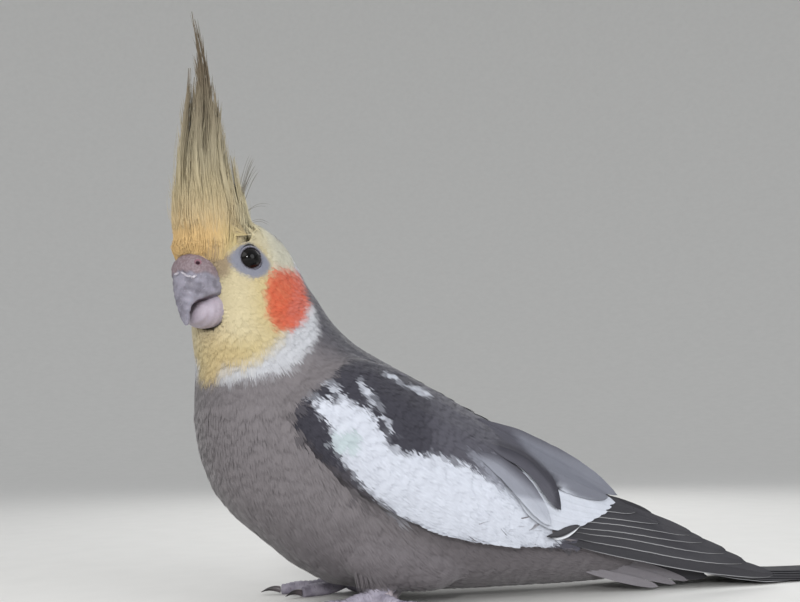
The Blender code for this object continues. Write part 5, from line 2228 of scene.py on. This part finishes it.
def add_scaled_tube(shape, points, radii, around, scute, domes):
    """A scaly tube with round ends: rows of overlapping plates above and small pads below."""
    gaps = np.linalg.norm(np.diff(points, axis=0), axis=1)
    reach = np.r_[0, np.cumsum(gaps)]
    rows = int(reach[-1] / 0.32) + 2
    where = np.linspace(0, reach[-1], rows)
    line = np.stack([np.interp(where, reach, points[:, k]) for k in range(3)], axis=-1)
    size = np.interp(where, reach, radii)
    run = unit_rows(np.gradient(line, axis=0))
    before = where[0] - np.array([0.75, 0.45, 0.15]) * domes[0]
    after = where[-1] + np.array([0.2, 0.45, 0.62]) * domes[1]
    first = line[0] + run[0] * (before - where[0])[:, None]
    last = line[-1] + run[-1] * (after - where[-1])[:, None]
    line = np.vstack([first, line, last])
    size = np.r_[size[0] * np.array([0.45, 0.8, 0.96]), size, size[-1] * np.array([0.93, 0.72, 0.38])]
    run = np.vstack([np.repeat(run[:1], 3, 0), run, np.repeat(run[-1:], 3, 0)])
    where = np.r_[before, where, after]
    points_out, plate = [], []
    for p, r, t, w in zip(line, size, run, where):
        side = unit_rows(np.cross(t, [0, 0, 1.0]) if abs(t[2]) < 0.9 else np.cross(t, [0, 1.0, 0]))
        up = np.cross(side, t)
        for k in range(around):
            a = 2 * math.pi * k / around
            upper = max(0.0, math.sin(a))
            phase = (w / scute + 0.12 * math.cos(2 * a)) % 1.0
            step = 0.2 * upper**0.5 * (phase - 0.15) if phase > 0.15 else -0.09 * upper**0.5
            pad = 0.09 * max(0.0, -math.sin(a)) * math.sin(w * 6.2) * math.cos(5 * a)
            spot = p + (side * math.cos(a) + up * math.sin(a)) * (r + step + pad)
            spot[2] = max(spot[2], 0.0)
            points_out.append(spot)
            plate.append(phase if upper > 0 else 0.5)
    total = len(line)
    points_out += [line[0] - run[0] * 0.2, line[-1] + run[-1] * 0.15]
    for k in (-1, -2):
        points_out[k][2] = max(points_out[k][2], 0.0)
    plate += [0.5, 0.5]
    shape.add(points_out, tube_faces(total, around), plate=plate)


def foot_look(graph):
    """Grey-pink scaly skin, paler on the plates and darker in the creases."""
    plate = graph.attribute("plate")
    crease = 1.0 - plate.eased(0.0, 0.22)
    fine = graph.noise(2200.0, 2.0)
    broad = graph.noise(260.0, 2.0)
    colour = graph.mix(linear(122, 117, 130), linear(160, 155, 168), broad.eased(0.3, 0.7))
    colour = graph.mix(colour, linear(96, 84, 90), crease * 0.8)
    return {
        "Base Color": graph.scaled(colour, 0.88 + 0.24 * fine),
        "Roughness": 0.5 + 0.2 * fine,
        "Normal": graph.bump(fine - crease * 0.6, 0.4, 0.0003),
    }


def claw_look(graph):
    """Dark horn, paler at the root."""
    along = graph.attribute("along")
    streak = graph.noise(900.0, 3.0)
    colour = graph.mix(linear(96, 88, 92), linear(40, 36, 38), along.eased(0.0, 0.7))
    return {
        "Base Color": graph.scaled(colour, 0.8 + 0.4 * streak),
        "Roughness": 0.28 + 0.2 * streak,
        "Normal": graph.bump(streak, 0.3, 0.0002),
    }


def make_feet():
    """Shanks and toes as one scaly piece for each foot, and a claw before each toe."""
    scaly = make_material("foot_scales", foot_look, Specular_IOR_Level=0.4)
    horn = make_material("claw_horn", claw_look, Specular_IOR_Level=0.5)
    for side, sign in (("left", 1), ("right", -1)):
        shape = Shape()
        joint, top = np.array(TOE_JOINT) * (sign, 1, 1), np.array(SHANK_TOP) * (sign, 1, 1)
        line = top + (joint - top) * np.linspace(0, 1, 8)[:, None]
        add_scaled_tube(shape, line, np.linspace(*SHANK_RADII, 8), 26, SCUTE_LENGTH, (1.0, 2.0))
        for name, angle, length, claw_length in TOES:
            points, radii = toe_path(angle, length, sign, 24)
            add_scaled_tube(shape, points, radii, 24, SCUTE_LENGTH, (1.5, 1.0))
            make_claw(f"{name}_{side}", points, radii, toe_direction(angle, sign), claw_length, horn)
        finish_shape(f"foot_scales_{side}", shape, scaly, outward=True)


def make_claw(name, points, radii, ahead, length, material):
    """A curved, slightly grooved claw before the end of a toe."""
    start = points[-1] + ahead * (radii[-1] * 0.5 + CLAW_GAP - 0.35)
    rings, around = 22, 20
    side = np.cross(ahead, [0, 0, 1.0])
    out, along = [], []
    for i in range(rings):
        t = i / (rings - 1)
        middle = start + ahead * (length + 0.3) * t
        middle[2] = start[2] + 0.5 * math.sin(math.pi * t) - CLAW_DROP * t * t
        size = CLAW_RADIUS * (1 - 0.9 * t**1.3)
        for k in range(around):
            a = 2 * math.pi * k / around
            groove = 1 - 0.12 * max(0.0, -math.sin(a)) ** 3
            spot = middle + (side * 0.8 * math.cos(a) + np.array([0, 0, 1.0]) * math.sin(a)) * size * groove
            spot[2] = max(spot[2], 0.0)
            out.append(spot)
            along.append(t)
    tip = start + ahead * (length + 0.5)
    tip[2] = max(0.05, start[2] - CLAW_DROP)
    out += [start, tip]
    along += [0.0, 1.0]
    shape = Shape()
    shape.add(out, tube_faces(rings, around), along=along)
    finish_shape(f"claw_horn_{name}", shape, material, [f"claw_{name}"], outward=True)


# Stage

PHOTO_FOCAL_PIXELS = 900.0
PHOTO_WIDTH = 800
SENSOR_WIDTH = 36.0
CAMERA_PLACE = (286.236, -55.788, 48.635)  # design millimetres
CAMERA_TURN = math.radians(14.0)
CAMERA_PITCH = math.radians(9.0)
CAMERA_ROLL = math.radians(1.0)


def add_camera():
    """The camera that sees the bird as the photograph does."""
    c, s = math.cos(CAMERA_PITCH), math.sin(CAMERA_PITCH)
    ahead = Vector((-math.cos(CAMERA_TURN) * c, math.sin(CAMERA_TURN) * c, s))
    level = ahead.cross(Vector((0, 0, 1))).normalized()
    over = level.cross(ahead)
    right = level * math.cos(CAMERA_ROLL) - over * math.sin(CAMERA_ROLL)
    up = level * math.sin(CAMERA_ROLL) + over * math.cos(CAMERA_ROLL)
    data = bpy.data.cameras.new("photo_view")
    data.sensor_width = SENSOR_WIDTH
    data.lens = PHOTO_FOCAL_PIXELS * SENSOR_WIDTH / PHOTO_WIDTH
    data.clip_start = 0.005
    camera = add_object("photo_view", data)
    turn = Matrix((right, up, -ahead)).transposed()
    camera.matrix_world = Matrix.Translation(Vector(to_frame(CAMERA_PLACE))) @ turn.to_4x4()
    bpy.context.scene.camera = camera


def floor_look(graph):
    """Plain pale floor."""
    grain = graph.noise(60.0, 3.0)
    colour = graph.mix(linear(222, 221, 218), linear(230, 229, 226), grain)
    return {"Base Color": colour, "Roughness": 0.8 + 0.1 * grain}


def add_sweep(settings):
    """A pale floor that curves up into a backdrop far from the bird, all round."""
    shape = Shape()
    radius, bend = settings.floor_radius / UNIT, settings.floor_radius / UNIT * 0.6
    profile = [(r, 0.0) for r in np.linspace(0.02, 1, 12) * (radius - bend)]
    bow = np.linspace(0.05, math.pi / 2, 24)
    profile += [(radius - bend + bend * math.sin(a), bend - bend * math.cos(a)) for a in bow]
    around = 96
    points = []
    for reach, height in profile:
        for k in range(around):
            a = 2 * math.pi * k / around
            points.append((reach * math.cos(a), reach * math.sin(a), height))
    points.append((0, 0, 0))
    faces = []
    for i in range(len(profile) - 1):
        for k in range(around):
            n = (k + 1) % around
            faces.append((i * around + k, (i + 1) * around + k, (i + 1) * around + n, i * around + n))
    faces += [(len(profile) * around, k, (k + 1) % around) for k in range(around)]
    shape.add(points, faces)
    mesh = shape.mesh("floor")
    mesh.materials.append(make_material("pale_floor", floor_look, Specular_IOR_Level=0.2))
    mesh.shade_smooth()
    floor = add_object("floor", mesh)


def add_light(name, place, aim, size, power, colour):
    """A round soft light at a design point that shines towards another."""
    data = bpy.data.lights.new(name, "AREA")
    data.shape = "DISK"
    data.size = size
    data.energy = power
    data.color = colour
    lamp = add_object(name, data)
    spot, target = Vector(to_frame(place)), Vector(to_frame(aim))
    turn = (target - spot).to_track_quat("-Z", "Y")
    lamp.matrix_world = Matrix.Translation(spot) @ turn.to_matrix().to_4x4()


def add_stage(settings):
    """Camera, floor, four lights and an even light all round."""
    add_camera()
    add_sweep(settings)
    body, eye = (0, 20, 60), from_head((5, 10, 0))[0]
    power = settings.key_power
    add_light("key_light", (420, -420, 420), body, 0.45, power * 0.6, (1.0, 0.985, 0.96))
    add_light("fill_light", (500, 300, 260), body, 0.5, power * 0.9, (0.96, 0.98, 1.0))
    add_light("back_light", (-420, 200, 420), body, 0.4, power * 0.5, (1.0, 1.0, 1.0))
    add_light("front_light", (640, -230, 230), eye, 0.07, power * 0.7, (1.0, 1.0, 1.0))
    world = bpy.data.worlds.new("studio")
    world.use_nodes = True
    background = world.node_tree.nodes["Background"]
    background.inputs[0].default_value = (0.9, 0.92, 0.95, 1.0)
    background.inputs[1].default_value = settings.room_light
    bpy.context.scene.world = world
    bpy.context.scene.view_settings.view_transform = "Standard"
    bpy.context.scene.view_settings.look = "None"


# Settings, operators and panel


class CockatielSkinSettings(bpy.types.PropertyGroup):
    """Sizes of the skin and coat."""

    skin_grain: FloatProperty(
        name="Skin grain", description="Size of the smallest shape on the skin", default=0.0009, min=0.0005,
        unit="LENGTH", precision=5)
    face_depth: FloatProperty(
        name="Face depth", description="Depth of the coat on the face", default=0.00045, unit="LENGTH",
        precision=5)
    body_depth: FloatProperty(
        name="Body depth", description="Depth of the coat on the body", default=0.00095, unit="LENGTH",
        precision=5)
    wing_depth: FloatProperty(
        name="Wing depth", description="Depth of the small feathers on the wing", default=0.0005,
        unit="LENGTH", precision=5)
    body_length: FloatProperty(
        name="Body feather length", description="Length of a tuft on the body", default=0.0088,
        unit="LENGTH", precision=5)
    spacing: FloatProperty(
        name="Spacing", description="Space between tufts, as a share of the usual", default=1.0, min=0.5,
        max=3.0)
    patch: FloatProperty(
        name="Map patch", description="Size of each tuft's patch in the map of the skin", default=0.003,
        precision=4)


class CockatielColourSettings(bpy.types.PropertyGroup):
    """Main colours of the plumage."""

    body_grey: FloatVectorProperty(
        name="Body grey", description="Colour of breast and neck", default=GREY, subtype="COLOR", min=0,
        max=1)
    face_yellow: FloatVectorProperty(
        name="Face yellow", description="Colour of the face", default=YELLOW, subtype="COLOR", min=0, max=1)
    cheek_orange: FloatVectorProperty(
        name="Cheek orange", description="Colour of the cheek patch", default=ORANGE, subtype="COLOR", min=0,
        max=1)
    wing_white: FloatVectorProperty(
        name="Wing white", description="Colour of the wing patch", default=WING_WHITE, subtype="COLOR", min=0,
        max=1)


class CockatielCrestSettings(bpy.types.PropertyGroup):
    """Make-up of the crest."""

    crest_feathers: IntProperty(
        name="Crest feathers", description="Number of long feathers in the crest", default=90, min=20,
        max=300)
    crest_strands: IntProperty(
        name="Crest strands", description="Number of loose strands in the crest", default=900, min=0,
        max=2000)
    crest_fringe: IntProperty(
        name="Crest fringe", description="Number of strands round the foot of the crest", default=2600, min=0,
        max=3000)


class CockatielStageSettings(bpy.types.PropertyGroup):
    """Floor and lights."""

    floor_radius: FloatProperty(
        name="Floor radius", description="Distance from the bird to the backdrop", default=3.0, unit="LENGTH")
    key_power: FloatProperty(
        name="Key power", description="Power in watts that the four lights take their shares of", default=1.9)
    room_light: FloatProperty(
        name="Room light", description="Strength of the even light all round", default=0.62)


class CockatielSkin(bpy.types.Operator):
    """Makes the one skin under the coat"""

    bl_idname = "cockatiel.skin"
    bl_label = "Skin"

    def execute(self, context):
        settings = context.scene.cockatiel_skin
        mesh = make_skin_mesh(settings)
        skin = add_object("skin", mesh)
        mesh.name = "skin"
        unwrap(skin)
        paint_skin(skin.data)
        material = make_material("bird_skin", skin_look, Specular_IOR_Level=0.3)
        finish_piece(skin, material, SKIN_NODES)
        return {"FINISHED"}


class CockatielCoat(bpy.types.Operator):
    """Grows the coat of small feathers on the skin"""

    bl_idname = "cockatiel.coat"
    bl_label = "Coat"

    def execute(self, context):
        skin = bpy.data.objects["skin"]
        grow_coat(skin, context.scene.cockatiel_skin)
        for extra in ("lie", "out", "wing", "foot"):
            skin.data.attributes.remove(skin.data.attributes[extra])
        return {"FINISHED"}


class CockatielWings(bpy.types.Operator):
    """Lays the large feathers of both wings and the tail"""

    bl_idname = "cockatiel.wings"
    bl_label = "Wings and tail"

    def execute(self, context):
        make_tail(make_wings())
        return {"FINISHED"}


class CockatielCrest(bpy.types.Operator):
    """Makes the crest"""

    bl_idname = "cockatiel.crest"
    bl_label = "Crest"

    def execute(self, context):
        make_crest(context.scene.cockatiel_crest)
        return {"FINISHED"}


class CockatielFace(bpy.types.Operator):
    """Makes the eyes with their lids, and the bill"""

    bl_idname = "cockatiel.face"
    bl_label = "Eyes and bill"

    def execute(self, context):
        make_eyes()
        make_bill()
        return {"FINISHED"}


class CockatielFeet(bpy.types.Operator):
    """Makes the scaly feet and the claws"""

    bl_idname = "cockatiel.feet"
    bl_label = "Feet"

    def execute(self, context):
        make_feet()
        return {"FINISHED"}


class CockatielStage(bpy.types.Operator):
    """Sets up the floor, the lights and the camera"""

    bl_idname = "cockatiel.stage"
    bl_label = "Stage"

    def execute(self, context):
        add_stage(context.scene.cockatiel_stage)
        return {"FINISHED"}


class VIEW3D_PT_cockatiel(bpy.types.Panel):
    """Lists the steps that make the cockatiel, with their settings"""

    bl_label = "Cockatiel"
    bl_space_type = "VIEW_3D"
    bl_region_type = "UI"
    bl_category = "Cockatiel"

    def draw(self, context):
        for name in SETTINGS:
            group = getattr(context.scene, name)
            box = self.layout.box()
            for key in group.bl_rna.properties.keys():
                if key not in ("rna_type", "name"):
                    box.prop(group, key)
        for operator in OPERATORS:
            self.layout.operator(operator.bl_idname)


SETTINGS = {
    "cockatiel_skin": CockatielSkinSettings,
    "cockatiel_colours": CockatielColourSettings,
    "cockatiel_crest": CockatielCrestSettings,
    "cockatiel_stage": CockatielStageSettings,
}
OPERATORS = (
    CockatielSkin, CockatielCoat, CockatielWings, CockatielCrest, CockatielFace, CockatielFeet,
    CockatielStage,
)


def register():
    """Adds the classes and puts the settings on the scene."""
    for cls in (*SETTINGS.values(), *OPERATORS, VIEW3D_PT_cockatiel):
        bpy.utils.register_class(cls)
    for name, cls in SETTINGS.items():
        setattr(bpy.types.Scene, name, PointerProperty(type=cls))


def unregister():
    """Takes the settings and the classes away again."""
    for name in SETTINGS:
        delattr(bpy.types.Scene, name)
    for cls in (VIEW3D_PT_cockatiel, *reversed(OPERATORS), *reversed(SETTINGS.values())):
        bpy.utils.unregister_class(cls)


def main():
    """Makes every piece in order."""
    register()
    bpy.ops.cockatiel.skin()
    bpy.ops.cockatiel.coat()
    bpy.ops.cockatiel.wings()
    bpy.ops.cockatiel.crest()
    bpy.ops.cockatiel.face()
    bpy.ops.cockatiel.feet()
    bpy.ops.cockatiel.stage()


if __name__ == "__main__":
    main()
